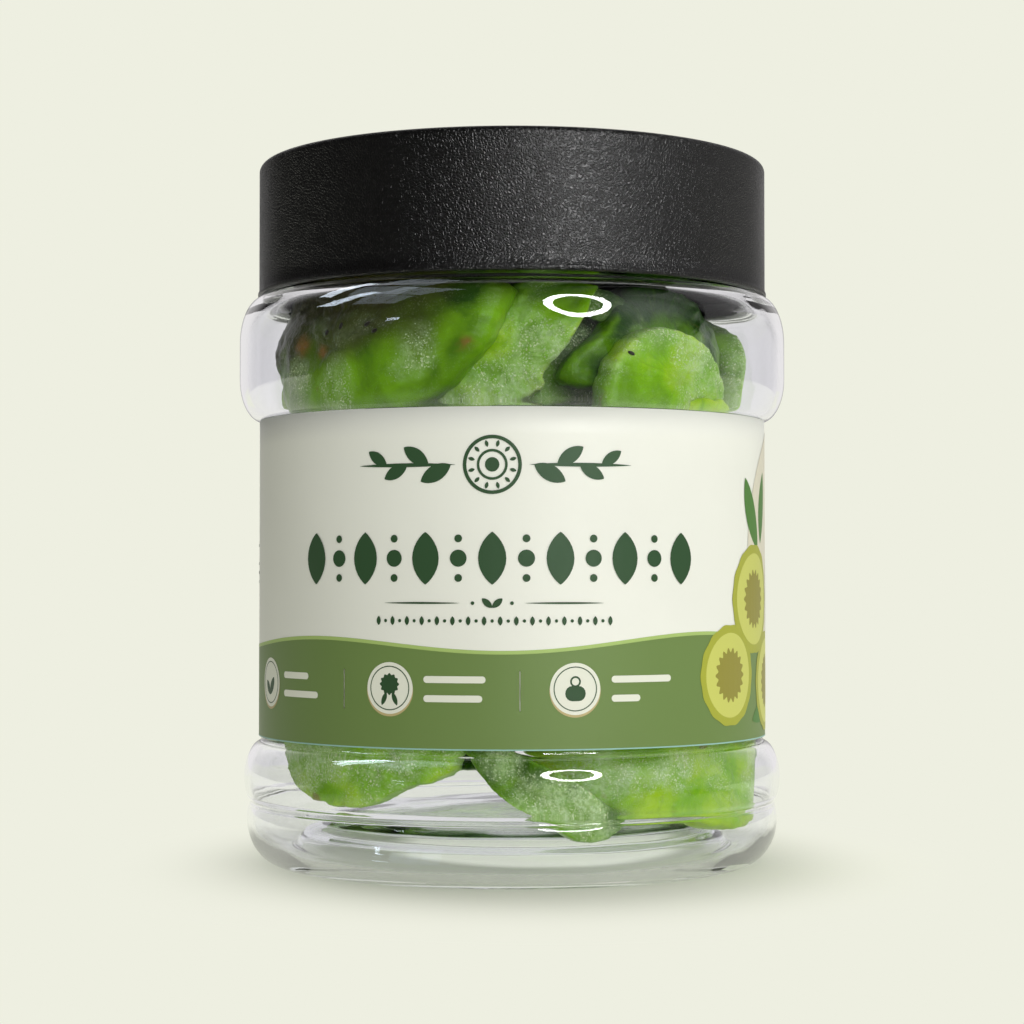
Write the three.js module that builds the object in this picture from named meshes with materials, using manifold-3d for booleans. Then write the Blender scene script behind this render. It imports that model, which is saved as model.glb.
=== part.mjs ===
// A shut clear jar of dried kiwi slices, with a black screw lid and a label that wraps all round.
// Millimetres, +Z up. The jar stands on z = 0 with its axis on Z, and its front faces -Y.
import * as THREE from 'three';
import { mergeVertices } from 'three/addons/utils/BufferGeometryUtils.js';
import Module from 'manifold-3d';

const wasm = await Module();
wasm.setup();

// Driving dimensions.
const sides = 48;
const overallHeight = 116.3;
const wall = 1.1;

const footRadius = 38.3;
const footWidth = 1.9;
const beadRadius = 44.3;
const beadHeight = 7.5;
const ringRadius = 44.8;
const ringHeight = 14.4;
const creaseRadius = 43.85;
const creaseHeight = 10.5;
const panelRadius = 42;
const panelBottom = 20.9;
const panelTop = 73.7;
const bulgeRadius = 45.7;
const bulgeBottom = 80.4;
const bulgeTop = 86.4;
const shoulderRadius = 42.2;
const shoulderHeight = 93.8;

const pushUpRadius = 34;
const pushUpHeight = 4.7;
const domeRadius = 32.4;
const domeRise = 4.6;
const baseThickness = 1.3;

const neckRadius = 40;
const neckWall = 1.4;
const neckBottom = 95;
const neckTop = 114.2;

const lidRadius = 42.5;
const lidLip = 0.2;
const lidBottom = 94.2;
const lidWall = 1.2;
const lidCrown = 1.6;
const lidEdgeRound = 1.2;

const threadPitch = 5.1;
const threadTurns = 1.2;
const threadDepth = 0.85;
const threadStart = 101.5;

const labelThickness = 0.3;
const labelGap = 0.1;
const labelBottom = 21.3;
const labelTop = 73.45;

// The fruit keeps this far inside the jar.
const fruitRadius = 40.6;
const fruitNeckRadius = 38.1;
const fruitBottom = 6.6;
const domeClearance = 1;
const fruitTop = 102.4;
const neckNarrows = [84, 93.4];
const coreRadius = 35.2;
const coreBottom = 20;
const coreTop = 95;
const sliceThickness = 6.4;
const sliceSides = 12;
const longSlice = 24;
const longSliceSides = 18;
const faceRing = 0.5;
const rimShare = 0.86;
const rimHeight = 0.85;
const sliceBow = 1.2;

// The slices that show at the front. Each has the place of its middle round the jar in degrees from
// the front, its height, how far behind the wall it lies, how much deeper a point 20 mm to its left
// lies, and its outline from its middle, to the right and up.
const frontSlices = [
  {
    at: -43,
    z: 83.5,
    inset: 0,
    skew: 0,
    edge: [
      [-15, -7], [-22, -3.5], [-29, 3], [-31, 9], [-26, 14], [-12, 17], [6, 17.5], [20, 16],
      [28.9, 10.8], [27.5, 5.8], [26.3, 2.7], [25.1, -0.1], [21.4, -3.4], [18.2, -6.9],
      [13.9, -8.9], [8, -12.4], [0, -14.4], [-9, -11.5],
    ],
  },
  {
    at: -1,
    z: 82,
    inset: 6.6,
    skew: 0,
    edge: [
      [15, 15.1], [12.9, 9.5], [11.2, 5.8], [8.7, 1.5], [4.7, -3.1], [6, -4.6], [2.2, -6.4],
      [-0.5, -7.8], [-4.4, -11.5], [-10.9, -13], [-14.5, -8.2], [-10.9, -0.4], [-4.4, 5.7],
      [-1.3, 10.3], [1.1, 14.7], [6.6, 17.4],
    ],
  },
  {
    at: 46,
    z: 84,
    inset: 7,
    skew: 0,
    edge: [
      [-18.7, -5.6], [-15.2, -1.2], [-11.8, 1.6], [-9.1, 4.4], [-7.2, 7.4], [-5.2, 10.7],
      [-0.8, 15], [6.9, 15.6], [15.3, 11.7], [20.2, 7], [20.5, 0.7], [20.4, -2.7], [20.6, -6.8],
      [6, -8.1], [-4, -8], [-11.8, -6.9], [-16, -6.6],
    ],
  },
  {
    at: 40.8,
    z: 78.5,
    inset: 0.6,
    skew: 0,
    edge: [
      [-12.7, -4.8], [-12.7, -2], [-12, 0.3], [-10.8, 3], [-9.2, 4.6], [-8, 6.2], [-5, 7.6],
      [-2.6, 8.2], [0.4, 7.6], [4.4, 6], [7.7, 3.7], [10.8, 1.8], [13, 0], [13.8, -2.7],
      [3.6, -4.2], [-5, -4.6],
    ],
  },
  {
    at: 45,
    z: 64,
    inset: 0,
    skew: 0,
    edge: [
      [-17.4, 10.2], [-15.7, 11.5], [-6.3, 12], [5.6, 12.3], [9.5, 12], [13, 11.2], [18, 10.2],
      [25.5, 8.9], [25.6, 1.4], [5.6, -5], [-8.3, -5.2], [-15.4, -0.7], [-18.2, 5.4],
    ],
  },
  {
    at: -35,
    z: 24,
    inset: 0,
    skew: 0,
    edge: [
      [-19.5, -4.1], [-18.3, -6.3], [-16, -8.2], [-14.4, -9.9], [-11.5, -11], [-8.5, -11.8],
      [-4.5, -12.3], [-0.5, -12.3], [2.1, -11.2], [4.9, -9.6], [7, -8.8], [11, -8.2],
      [14.1, -6.1], [16, -3.5], [16.4, 0.4], [12.5, 6.2], [4.9, 9.4], [-6.3, 9.2], [-18.8, 4.3],
    ],
  },
  {
    at: -8,
    z: 23.5,
    inset: 6.6,
    skew: 0,
    edge: [
      [-9, -2.4], [-7, -5], [-3, -5.8], [1, -5.5], [4.1, -3], [3.3, 2.5], [-2.2, 4.8],
      [-7.2, 3.2],
    ],
  },
  {
    at: 4,
    z: 15.2,
    inset: 0,
    skew: 0,
    edge: [
      [-9.5, 5.3], [-6.8, 1.5], [-4.4, -1.1], [-0.7, -3.5], [3.5, -5.9], [5.2, -7.3], [7.6, -8.4],
      [11.4, -8.4], [13.4, -7.1], [15.7, -5.5], [14.1, -3.9], [11.7, -2.7], [9.7, -1], [8.1, 0.2],
      [4.9, 2.1], [1.2, 4], [-2.7, 5.8], [-4.4, 9.2], [-8.2, 11], [-11.9, 8.8],
    ],
  },
  {
    at: 46,
    z: 22,
    inset: 3,
    skew: 4,
    edge: [
      [-23.2, -0.4], [-20, -5.9], [-16, -9.1], [-11.3, -11.1], [-8, -12.2], [-6, -11.6],
      [-2.8, -11.4], [0.2, -12.4], [4.5, -14.1], [10.1, -15.3], [14, -15.6], [21.5, -15],
      [23.5, -11.7], [23.4, -7.9], [23, -2.4], [20, 5.1], [6.4, 10.3], [-9.9, 11.3], [-19.2, 8],
    ],
  },
];

// Rings of slices round the rest of the jar: how many, from where to where, and their heights.
const sliceRings = [
  { count: 5, from: 128, to: 238, z: 80, rise: 3, inset: 0, step: 6.6, lean: 3, seed: 1 },
  { count: 5, from: 10, to: 300, z: 86, rise: 2, inset: 13.2, step: 2, lean: 8, seed: 2 },
  { count: 3, from: 110, to: 146, z: 22.5, rise: 1.5, inset: 0, step: 6.6, lean: 0, seed: 3 },
  { count: 2, from: 170, to: 206, z: 37, rise: 1, inset: 0, step: 6.6, lean: 0, seed: 4 },
  { count: 2, from: 240, to: 254, z: 28, rise: 1.5, inset: 0, step: 6.6, lean: 0, seed: 7 },
  { count: 5, from: 15, to: 305, z: 97, rise: 1.5, inset: 20, step: 4, lean: 75, seed: 5 },
  { count: 3, from: 150, to: 390, z: 34, rise: 1.5, inset: 22, step: 3, lean: 80, seed: 6 },
];
const ringHalfLength = [17, 23];
const ringHalfWidth = [13, 16];

const radians = THREE.MathUtils.degToRad;
const point = (radius, height) => new THREE.Vector2(radius, height);

// A number from 0 to 1 that is always the same for the same place in the order.
function draw(place) {
  const value = Math.sin(place * 12.9898 + 4.1414) * 43758.5453;
  return value - Math.floor(value);
}

function between([low, high], share) {
  return low + (high - low) * share;
}

// Points on a quarter of an ellipse about (radius, height), from one angle to another.
function ellipseArc(radius, height, across, up, fromDegrees, toDegrees, steps) {
  const points = [];
  for (let i = 0; i <= steps; i += 1) {
    const angle = radians(fromDegrees + ((toDegrees - fromDegrees) * i) / steps);
    points.push(point(radius + across * Math.cos(angle), height + up * Math.sin(angle)));
  }
  return points;
}

// A closed round body on the Z axis, from its half section.
function turned(points, segments = sides) {
  return solidOf(new THREE.LatheGeometry(points, segments).rotateX(Math.PI / 2));
}

// A geometry with shared vertices, as a solid that can be joined and cut.
function solidOf(geometry) {
  const bare = geometry.clone();
  bare.deleteAttribute('normal');
  bare.deleteAttribute('uv');
  const merged = mergeVertices(bare, 1e-4);
  const solid = new wasm.Manifold(
    new wasm.Mesh({
      numProp: 3,
      vertProperties: new Float32Array(merged.attributes.position.array),
      triVerts: new Uint32Array(merged.index.array),
    }),
  );
  return solid;
}

function geometryOf(solid) {
  const mesh = solid.getMesh();
  const geometry = new THREE.BufferGeometry();
  geometry.setAttribute('position', new THREE.BufferAttribute(mesh.vertProperties, 3));
  geometry.setIndex(new THREE.BufferAttribute(mesh.triVerts, 1));
  geometry.computeVertexNormals();
  return geometry;
}

function part(name, geometry, color, roughness) {
  const material = new THREE.MeshStandardMaterial({ color, roughness, metalness: 0 });
  const mesh = new THREE.Mesh(geometry, material);
  mesh.name = name;
  return mesh;
}

// A raised screw thread: a round bead that climbs round the axis.
class Helix extends THREE.Curve {
  constructor(radius, bottom) {
    super();
    this.radius = radius;
    this.bottom = bottom;
  }

  getPoint(share, target = new THREE.Vector3()) {
    const angle = share * threadTurns * 2 * Math.PI;
    const height = this.bottom + share * threadTurns * threadPitch;
    return target.set(this.radius * Math.cos(angle), this.radius * Math.sin(angle), height);
  }
}

function thread(radius, bottom, beadSize) {
  const section = new THREE.Shape();
  section.absarc(0, 0, beadSize, 0, 2 * Math.PI, false);
  const geometry = new THREE.ExtrudeGeometry(section, {
    steps: 46,
    curveSegments: 5,
    bevelEnabled: false,
    extrudePath: new Helix(radius, bottom),
  });
  return solidOf(geometry);
}

// The jar's outside, from the foot up to the rim.
function jarOutside() {
  const heel = ellipseArc(footRadius, beadHeight, beadRadius - footRadius, beadHeight, -90, 0, 5);
  const lowerBulge = ellipseArc(
    panelRadius, bulgeBottom, bulgeRadius - panelRadius, bulgeBottom - panelTop, -90, 0, 4);
  const upperBulge = ellipseArc(
    shoulderRadius, bulgeTop, bulgeRadius - shoulderRadius, shoulderHeight - bulgeTop, 0, 90, 4);
  return [
    ...heel,
    point(creaseRadius, creaseHeight),
    point(ringRadius - 0.3, creaseHeight + 1.6),
    point(ringRadius, ringHeight),
    point(ringRadius - 0.3, ringHeight + 2.6),
    point(ringRadius - 1.2, ringHeight + 4.7),
    point(panelRadius, panelBottom),
    ...lowerBulge,
    ...upperBulge,
    point(neckRadius + 0.9, shoulderHeight + 0.1),
    point(neckRadius, neckBottom),
    point(neckRadius, neckTop),
  ];
}

// The jar's inside, from the rim down to the middle of the floor.
function jarInside() {
  const floor = pushUpHeight + baseThickness;
  const upperBulge = ellipseArc(
    shoulderRadius - wall, bulgeTop, bulgeRadius - shoulderRadius, shoulderHeight - bulgeTop - wall,
    90, 0, 3);
  const lowerBulge = ellipseArc(
    panelRadius - wall, bulgeBottom, bulgeRadius - panelRadius, bulgeBottom - panelTop, 0, -90, 3);
  const heel = ellipseArc(
    footRadius - 1, beadHeight, beadRadius - wall - footRadius + 1, beadHeight - baseThickness,
    0, -90, 3);
  return [
    point(neckRadius - neckWall, neckTop),
    point(neckRadius - neckWall, neckBottom - 0.6),
    ...upperBulge,
    ...lowerBulge,
    point(panelRadius - wall, panelBottom),
    point(ringRadius - wall, ringHeight),
    point(creaseRadius - wall, creaseHeight),
    ...heel,
    point(pushUpRadius + 0.6, floor - 0.6),
    ...ellipseArc(0, floor, domeRadius, domeRise, 5, 90, 5),
  ];
}

// The jar is open at its neck. Its floor is a low dome, pushed up inside a ring-shaped foot.
function makeJar() {
  const underside = [
    ...ellipseArc(0, pushUpHeight, domeRadius, domeRise, 90, 5, 5),
    point(pushUpRadius - 0.6, pushUpHeight - 0.2),
    point(footRadius - footWidth, 0),
  ];
  const body = turned([...underside, ...jarOutside(), ...jarInside()]);
  return body.add(thread(neckRadius, threadStart, threadDepth));
}

// The lid is a cap with a rounded edge on top, a narrow lip below and a thread inside.
function makeLid() {
  const lipHeight = 0.7;
  const inside = lidRadius - lidWall;
  const edge = ellipseArc(
    lidRadius - lidEdgeRound, overallHeight - lidEdgeRound, lidEdgeRound, lidEdgeRound, 0, 90, 4);
  const shell = turned([
    point(0, overallHeight - lidCrown),
    point(inside, overallHeight - lidCrown),
    point(inside, lidBottom),
    point(lidRadius + lidLip, lidBottom),
    point(lidRadius + lidLip, lidBottom + lipHeight),
    point(lidRadius, lidBottom + lipHeight + lidLip),
    ...edge,
    point(0, overallHeight),
  ]);
  return shell.add(thread(inside, threadStart + threadPitch / 2, threadDepth * 0.8));
}

// The label is a thin sleeve round the jar's straight panel.
function makeLabel() {
  const inner = panelRadius + labelGap;
  const outer = inner + labelThickness;
  return turned([
    point(inner, labelBottom),
    point(outer, labelBottom),
    point(outer, labelTop),
    point(inner, labelTop),
    point(inner, labelBottom),
  ]);
}

// The share by which a point at this radius and height is drawn in, so that it stays in the jar.
function fitInJar(radius, height) {
  const [narrowsFrom, narrowsTo] = neckNarrows;
  const narrowed = THREE.MathUtils.smoothstep(height, narrowsFrom, narrowsTo);
  const squeeze = 1 - narrowed * (1 - fruitNeckRadius / fruitRadius);
  return Math.min(squeeze, (fruitRadius * squeeze) / radius);
}

// The lowest the fruit lies at this radius: just over the dome of the jar's floor.
function fruitLow(radius) {
  const share = Math.min(1, radius / domeRadius);
  return fruitBottom + (domeRise + domeClearance) * Math.sqrt(1 - share * share);
}

// A closed outline with its corners cut twice.
function rounded(edge) {
  let outline = edge;
  for (let pass = 0; pass < 2; pass += 1) {
    outline = outline.flatMap(([x, y], i) => {
      const [nextX, nextY] = outline[(i + 1) % outline.length];
      return [0.25, 0.75].map((share) => [between([x, nextX], share), between([y, nextY], share)]);
    });
  }
  return outline;
}

// How far an outline lies from its middle along a heading.
function edgeReach(edge, angle) {
  const across = Math.cos(angle);
  const up = Math.sin(angle);
  for (let i = 0; i < edge.length; i += 1) {
    const [x, y] = edge[i];
    const [nextX, nextY] = edge[(i + 1) % edge.length];
    const slant = across * (nextY - y) - up * (nextX - x);
    const share = (x * up - y * across) / slant;
    const reach = (x * (nextY - y) - y * (nextX - x)) / slant;
    if (share >= -1e-9 && share <= 1 + 1e-9 && reach > 0) return reach;
  }
  throw new Error("an outline doesn't go round its middle");
}

// One dried slice: a thick uneven pill with its own outline that follows the wall of the jar.
function slice({ at, z, inset, skew, lean = 0, edge }, seed) {
  const half = sliceThickness / 2;
  const outline = rounded(edge);
  const isLong = Math.max(...edge.map(([x]) => Math.abs(x))) > longSlice;
  const middle = isLong ? [faceRing] : [];
  const geometry = new THREE.LatheGeometry(
    [
      point(0, -half),
      ...middle.map((share) => point(share, -half)),
      point(rimShare, -rimHeight * half),
      point(1, 0),
      point(rimShare, rimHeight * half),
      ...middle.map((share) => point(share, half)),
      point(0, half),
    ],
    isLong ? longSliceSides : sliceSides,
  );
  const leanAngle = radians(lean);
  const place = radians(at);
  const position = geometry.attributes.position;
  for (let i = 0; i < position.count; i += 1) {
    const angle = Math.atan2(position.getZ(i), position.getX(i));
    const reach = Math.hypot(position.getX(i), position.getZ(i));
    const out = edgeReach(outline, angle) * reach;
    const sideways = out * Math.cos(angle);
    const upwards = out * Math.sin(angle);
    const bow = sliceBow * Math.sin(2 * angle + 6 * draw(seed + 0.5)) * reach * reach;
    const radius = fruitRadius - half - inset + (skew * sideways) / 20;
    const bent = sideways / radius;
    const inwards = position.getY(i) + bow;
    const tangent = (radius - inwards) * Math.sin(bent);
    const behind = radius - (radius - inwards) * Math.cos(bent);
    const height = z + upwards * Math.cos(leanAngle) - behind * Math.sin(leanAngle);
    const depth = radius - upwards * Math.sin(leanAngle) - behind * Math.cos(leanAngle);
    const x = depth * Math.sin(place) + tangent * Math.cos(place);
    const y = -depth * Math.cos(place) + tangent * Math.sin(place);
    const inside = fitInJar(Math.hypot(x, y), height);
    const low = fruitLow(Math.hypot(x, y) * inside);
    position.setXYZ(i, x * inside, y * inside, THREE.MathUtils.clamp(height, low, fruitTop));
  }
  return solidOf(geometry);
}

// The wavy oval outline of a slice in a ring, turned a little in its own plane.
function ovalEdge(seed) {
  const long = between(ringHalfLength, draw(seed + 2));
  const wide = between(ringHalfWidth, draw(seed + 3));
  const turn = radians(50 * (draw(seed + 4) - 0.5));
  return Array.from({ length: 16 }, (_, i) => {
    const angle = (2 * Math.PI * i) / 16;
    const wave = 1 + 0.05 * Math.cos(3 * angle + 6 * draw(seed)) + 0.04 * Math.cos(2 * angle);
    const across = long * wave * Math.cos(angle);
    const along = wide * wave * Math.sin(angle);
    return [
      across * Math.cos(turn) - along * Math.sin(turn),
      across * Math.sin(turn) + along * Math.cos(turn),
    ];
  });
}

// The slices that fill the rest of the jar, in rings with uneven sizes, turns and heights.
function ringSlices() {
  const slices = [];
  for (const ring of sliceRings) {
    for (let i = 0; i < ring.count; i += 1) {
      const seed = ring.seed * 100 + i * 7;
      const spacing = (ring.to - ring.from) / (ring.count - 1);
      slices.push({
        at: ring.from + spacing * (i + 0.3 * (draw(seed) - 0.5)),
        z: ring.z + ring.rise * (2 * draw(seed + 1) - 1),
        edge: ovalEdge(seed),
        lean: ring.lean + 6 * (draw(seed + 5) - 0.5),
        inset: ring.inset + ring.step * (i % 2),
        skew: 0,
      });
    }
  }
  return slices;
}

// The largest closed surface of a geometry, without the hollows inside it and loose scraps.
function largestSurface(geometry) {
  const corners = geometry.index.array;
  const leader = Array.from({ length: geometry.attributes.position.count }, (_, i) => i);
  const find = (i) => {
    let top = i;
    while (leader[top] !== top) top = leader[top];
    leader[i] = top;
    return top;
  };
  for (let i = 0; i < corners.length; i += 3) {
    leader[find(corners[i + 1])] = find(corners[i]);
    leader[find(corners[i + 2])] = find(corners[i]);
  }
  const sizes = new Map();
  corners.forEach((corner) => sizes.set(find(corner), (sizes.get(find(corner)) ?? 0) + 1));
  const largest = [...sizes].reduce((a, b) => (b[1] > a[1] ? b : a))[0];
  geometry.setIndex(Array.from(corners).filter((corner) => find(corner) === largest));
  return geometry;
}

// The heap of slices: a core that the slices round it are joined to.
function makeHeap() {
  let heap = turned([
    point(0, coreBottom),
    point(0.65 * coreRadius, coreBottom),
    point(coreRadius, coreBottom + 8),
    point(coreRadius, panelTop - 6),
    point(0.85 * coreRadius, panelTop + 6),
    point(0.75 * coreRadius, coreTop),
    point(0, coreTop),
  ], 16);
  [...frontSlices, ...ringSlices()].forEach((shape, i) => {
    heap = heap.add(slice(shape, i));
  });
  return largestSurface(geometryOf(heap));
}

const jarOfKiwi = new THREE.Group();
jarOfKiwi.add(part('jar', geometryOf(makeJar()), 0xe6ebe6, 0.08));
jarOfKiwi.add(part('lid', geometryOf(makeLid()), 0x161614, 0.5));
jarOfKiwi.add(part('label', geometryOf(makeLabel()), 0xefeee2, 0.45));
jarOfKiwi.add(part('kiwi_heap', makeHeap(), 0x5fa520, 0.5));

export default jarOfKiwi;
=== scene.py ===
"""A shut clear jar of dried kiwi slices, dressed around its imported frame.

Lengths in the frame are metres. The fruit is worked out in millimetres, with the jar's axis on Z and
its front on -Y, and each point is brought to metres where it joins a mesh.
"""

import math

import bmesh
import bpy
from bpy.props import FloatProperty, FloatVectorProperty, PointerProperty
from mathutils import Matrix, Vector, noise


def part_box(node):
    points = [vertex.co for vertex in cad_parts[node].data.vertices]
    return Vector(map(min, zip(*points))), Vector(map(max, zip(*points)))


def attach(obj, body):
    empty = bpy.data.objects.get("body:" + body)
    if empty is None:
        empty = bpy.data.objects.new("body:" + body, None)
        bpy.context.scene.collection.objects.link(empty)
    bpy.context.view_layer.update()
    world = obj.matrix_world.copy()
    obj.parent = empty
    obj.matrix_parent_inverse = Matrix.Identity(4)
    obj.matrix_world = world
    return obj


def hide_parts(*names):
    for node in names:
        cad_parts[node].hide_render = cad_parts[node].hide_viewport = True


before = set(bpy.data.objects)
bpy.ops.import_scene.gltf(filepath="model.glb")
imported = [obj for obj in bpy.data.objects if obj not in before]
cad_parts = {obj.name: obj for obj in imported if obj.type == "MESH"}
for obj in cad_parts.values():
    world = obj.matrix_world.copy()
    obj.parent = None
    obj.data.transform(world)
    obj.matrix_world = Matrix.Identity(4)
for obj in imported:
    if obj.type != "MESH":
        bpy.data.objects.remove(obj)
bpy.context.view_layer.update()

bl_info = {
    "name": "Jar of Dried Kiwi",
    "version": (1, 0, 0),
    "blender": (4, 5, 0),
    "location": "View3D > Sidebar > Jar",
    "description": "Builds a clear jar of dried kiwi slices with a screw lid and a printed label",
    "category": "Object",
}

MM = 0.001
FULL_TURN = 2 * math.pi

# Sizes that come from the frame, in millimetres.
JAR_LOW, JAR_HIGH = (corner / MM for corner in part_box("jar"))
LID_LOW, LID_HIGH = (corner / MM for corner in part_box("lid"))
LABEL_LOW, LABEL_HIGH = (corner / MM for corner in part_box("label"))
FRUIT_LOW, FRUIT_HIGH = (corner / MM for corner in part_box("kiwi_heap"))
BULGE_RADIUS = JAR_HIGH.x
LID_RADIUS = LID_HIGH.x
LABEL_RADIUS = LABEL_HIGH.x

# The slices that show at the front. Each has the place of its middle round the jar in degrees from
# the front, its height, how far behind the wall it lies, how much deeper a point 20 mm to its left
# lies, and its outline in millimetres from its middle, to the right and up. Tone is how bright its
# flesh is, frost how sugared, and its dark-top amount how far its top is darkened to brown, partly
# its own browning and partly painted shade under the lid. Frosted gives its whiter patches by place,
# radius and amount, marks its brown spots by place and radius, and seeds the places of its seeds.
PLAIN_SLICE = {"inset": 0, "skew": 0, "brown_and_shade": 0, "frosted": [], "marks": [], "seeds": []}
FRONT_SLICES = [
    {"at": -43, "z": 83.5, "tone": 0.62, "frost": -0.3, "brown_and_shade": 1,
     "edge": [(-15, -7), (-22, -3.5), (-29, 3), (-31, 9), (-26, 14), (-12, 17), (6, 17.5), (20, 16),
              (28.9, 10.8), (27.5, 5.8), (26.3, 2.7), (25.1, -0.1), (21.4, -3.4), (18.2, -6.9),
              (13.9, -8.9), (8, -12.4), (0, -14.4), (-9, -11.5)],
     "frosted": [(-9, -5.5, 7, 0.6), (1, -6, 6, 0.6), (8.5, -6, 5, 0.45), (13, -3, 5, 0.35)],
     "marks": [(21.6, -0.2, 1.5), (-8.5, 0.9, 2.6), (-3, -0.4, 1.6)],
     "seeds": [(-2.5, 2.6), (0.5, 3.4), (7.2, 2.2), (5.6, 3.4)]},
    {"at": -1, "z": 82, "inset": 6.6, "tone": 1.05, "frost": 0.25,
     "edge": [(15, 15.1), (12.9, 9.5), (11.2, 5.8), (8.7, 1.5), (4.7, -3.1), (6, -4.6), (2.2, -6.4),
              (-0.5, -7.8), (-4.4, -11.5), (-10.9, -13), (-14.5, -8.2), (-10.9, -0.4), (-4.4, 5.7),
              (-1.3, 10.3), (1.1, 14.7), (6.6, 17.4)],
     "frosted": [(-1, -4, 7, 0.4), (4.5, 0.5, 6, 0.3)]},
    {"at": 46, "z": 84, "inset": 7, "tone": 0.3, "frost": -0.15,
     "edge": [(-18.7, -5.6), (-15.2, -1.2), (-11.8, 1.6), (-9.1, 4.4), (-7.2, 7.4), (-5.2, 10.7),
              (-0.8, 15), (6.9, 15.6), (15.3, 11.7), (20.2, 7), (20.5, 0.7), (20.4, -2.7),
              (20.6, -6.8), (6, -8.1), (-4, -8), (-11.8, -6.9), (-16, -6.6)],
     "frosted": [(-11.5, 2, 4, 0.3)]},
    {"at": 40.8, "z": 78.5, "inset": 0.6, "tone": 1.0, "frost": 0.12,
     "edge": [(-12.7, -4.8), (-12.7, -2), (-12, 0.3), (-10.8, 3), (-9.2, 4.6), (-8, 6.2), (-5, 7.6),
              (-2.6, 8.2), (0.4, 7.6), (4.4, 6), (7.7, 3.7), (10.8, 1.8), (13, 0), (13.8, -2.7),
              (3.6, -4.2), (-5, -4.6)],
     "frosted": [(2.4, 4.7, 5, 0.5), (-11, -1, 4, 0.4), (9, -1, 4, 0.3)],
     "seeds": [(-8.3, 3.6)]},
    {"at": 45, "z": 64, "tone": 0.95, "frost": -0.1,
     "edge": [(-17.4, 10.2), (-15.7, 11.5), (-6.3, 12), (5.6, 12.3), (9.5, 12), (13, 11.2),
              (18, 10.2), (25.5, 8.9), (25.6, 1.4), (5.6, -5), (-8.3, -5.2), (-15.4, -0.7),
              (-18.2, 5.4)]},
    {"at": -35, "z": 24, "tone": 1.0, "frost": 0.0,
     "edge": [(-19.5, -4.1), (-18.3, -6.3), (-16, -8.2), (-14.4, -9.9), (-11.5, -11),
              (-8.5, -11.8), (-4.5, -12.3), (-0.5, -12.3), (2.1, -11.2), (4.9, -9.6), (7, -8.8),
              (11, -8.2), (14.1, -6.1), (16, -3.5), (16.4, 0.4), (12.5, 6.2), (4.9, 9.4),
              (-6.3, 9.2), (-18.8, 4.3)],
     "frosted": [(-12.5, -4.6, 8, 1.6), (-5, -4.5, 5, 0.7), (3, -5, 5, 0.6), (7, -4, 4, 0.4)]},
    {"at": -8, "z": 23.5, "inset": 6.6, "tone": 0.0, "frost": -0.7,
     "edge": [(-9, -2.4), (-7, -5), (-3, -5.8), (1, -5.5), (4.1, -3), (3.3, 2.5), (-2.2, 4.8),
              (-7.2, 3.2)]},
    {"at": 4, "z": 15.2, "tone": 0.42, "frost": 0.05,
     "edge": [(-9.5, 5.3), (-6.8, 1.5), (-4.4, -1.1), (-0.7, -3.5), (3.5, -5.9), (5.2, -7.3),
              (7.6, -8.4), (11.4, -8.4), (13.4, -7.1), (15.7, -5.5), (14.1, -3.9), (11.7, -2.7),
              (9.7, -1), (8.1, 0.2), (4.9, 2.1), (1.2, 4), (-2.7, 5.8), (-4.4, 9.2), (-8.2, 11),
              (-11.9, 8.8)],
     "frosted": [(-4, 5, 5, 0.5), (1.5, -0.5, 5, 0.8), (7, -3.2, 5, 0.8), (10, -5.6, 4, 0.3)]},
    {"at": 46, "z": 22, "inset": 3, "skew": 4, "tone": 1.2, "frost": -0.1,
     "edge": [(-23.2, -0.4), (-20, -5.9), (-16, -9.1), (-11.3, -11.1), (-8, -12.2), (-6, -11.6),
              (-2.8, -11.4), (0.2, -12.4), (4.5, -14.1), (10.1, -15.3), (14, -15.6), (21.5, -15),
              (23.5, -11.7), (23.4, -7.9), (23, -2.4), (20, 5.1), (6.4, 10.3), (-9.9, 11.3),
              (-19.2, 8)],
     "frosted": [(-13, -4.5, 6, 0.9), (-7, -5.3, 5, 0.9), (-1.5, -5.2, 5, 0.9), (20, -7, 7, 0.7)]},
]

# Rings of slices round the rest of the jar: how many, from where to where, and their heights.
SLICE_RINGS = [
    {"count": 5, "from": 128, "to": 238, "z": 80, "rise": 3, "inset": 0, "step": 6.6, "lean": 3,
     "seed": 1, "level": "back"},
    {"count": 5, "from": 10, "to": 300, "z": 86, "rise": 2, "inset": 13.2, "step": 2, "lean": 8,
     "seed": 2, "level": "middle"},
    {"count": 3, "from": 110, "to": 146, "z": 22.5, "rise": 1.5, "inset": 0, "step": 6.6,
     "lean": 0, "seed": 3, "level": "back"},
    {"count": 2, "from": 170, "to": 206, "z": 37, "rise": 1, "inset": 0, "step": 6.6, "lean": 0,
     "seed": 4, "level": "back"},
    {"count": 2, "from": 240, "to": 254, "z": 28, "rise": 1.5, "inset": 0, "step": 6.6, "lean": 0,
     "seed": 7, "level": "back"},
    {"count": 5, "from": 15, "to": 305, "z": 97, "rise": 1.5, "inset": 20, "step": 4, "lean": 75,
     "seed": 5, "level": "middle"},
    {"count": 3, "from": 150, "to": 390, "z": 34, "rise": 1.5, "inset": 22, "step": 3, "lean": 80,
     "seed": 6, "level": "middle"},
]
RING_HALF_LENGTH = (17, 23)
RING_HALF_WIDTH = (13, 16)
UPPER_FROM = 50


# ---------------------------------------------------------------- settings


def length_setting(name, description, millimetres):
    """A length that a user would change."""
    return FloatProperty(
        name=name, description=description, default=millimetres * MM, unit="LENGTH")


def color_setting(name, description, color):
    """A colour that a user would change."""
    return FloatVectorProperty(
        name=name, description=description, default=color, subtype="COLOR")


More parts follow.
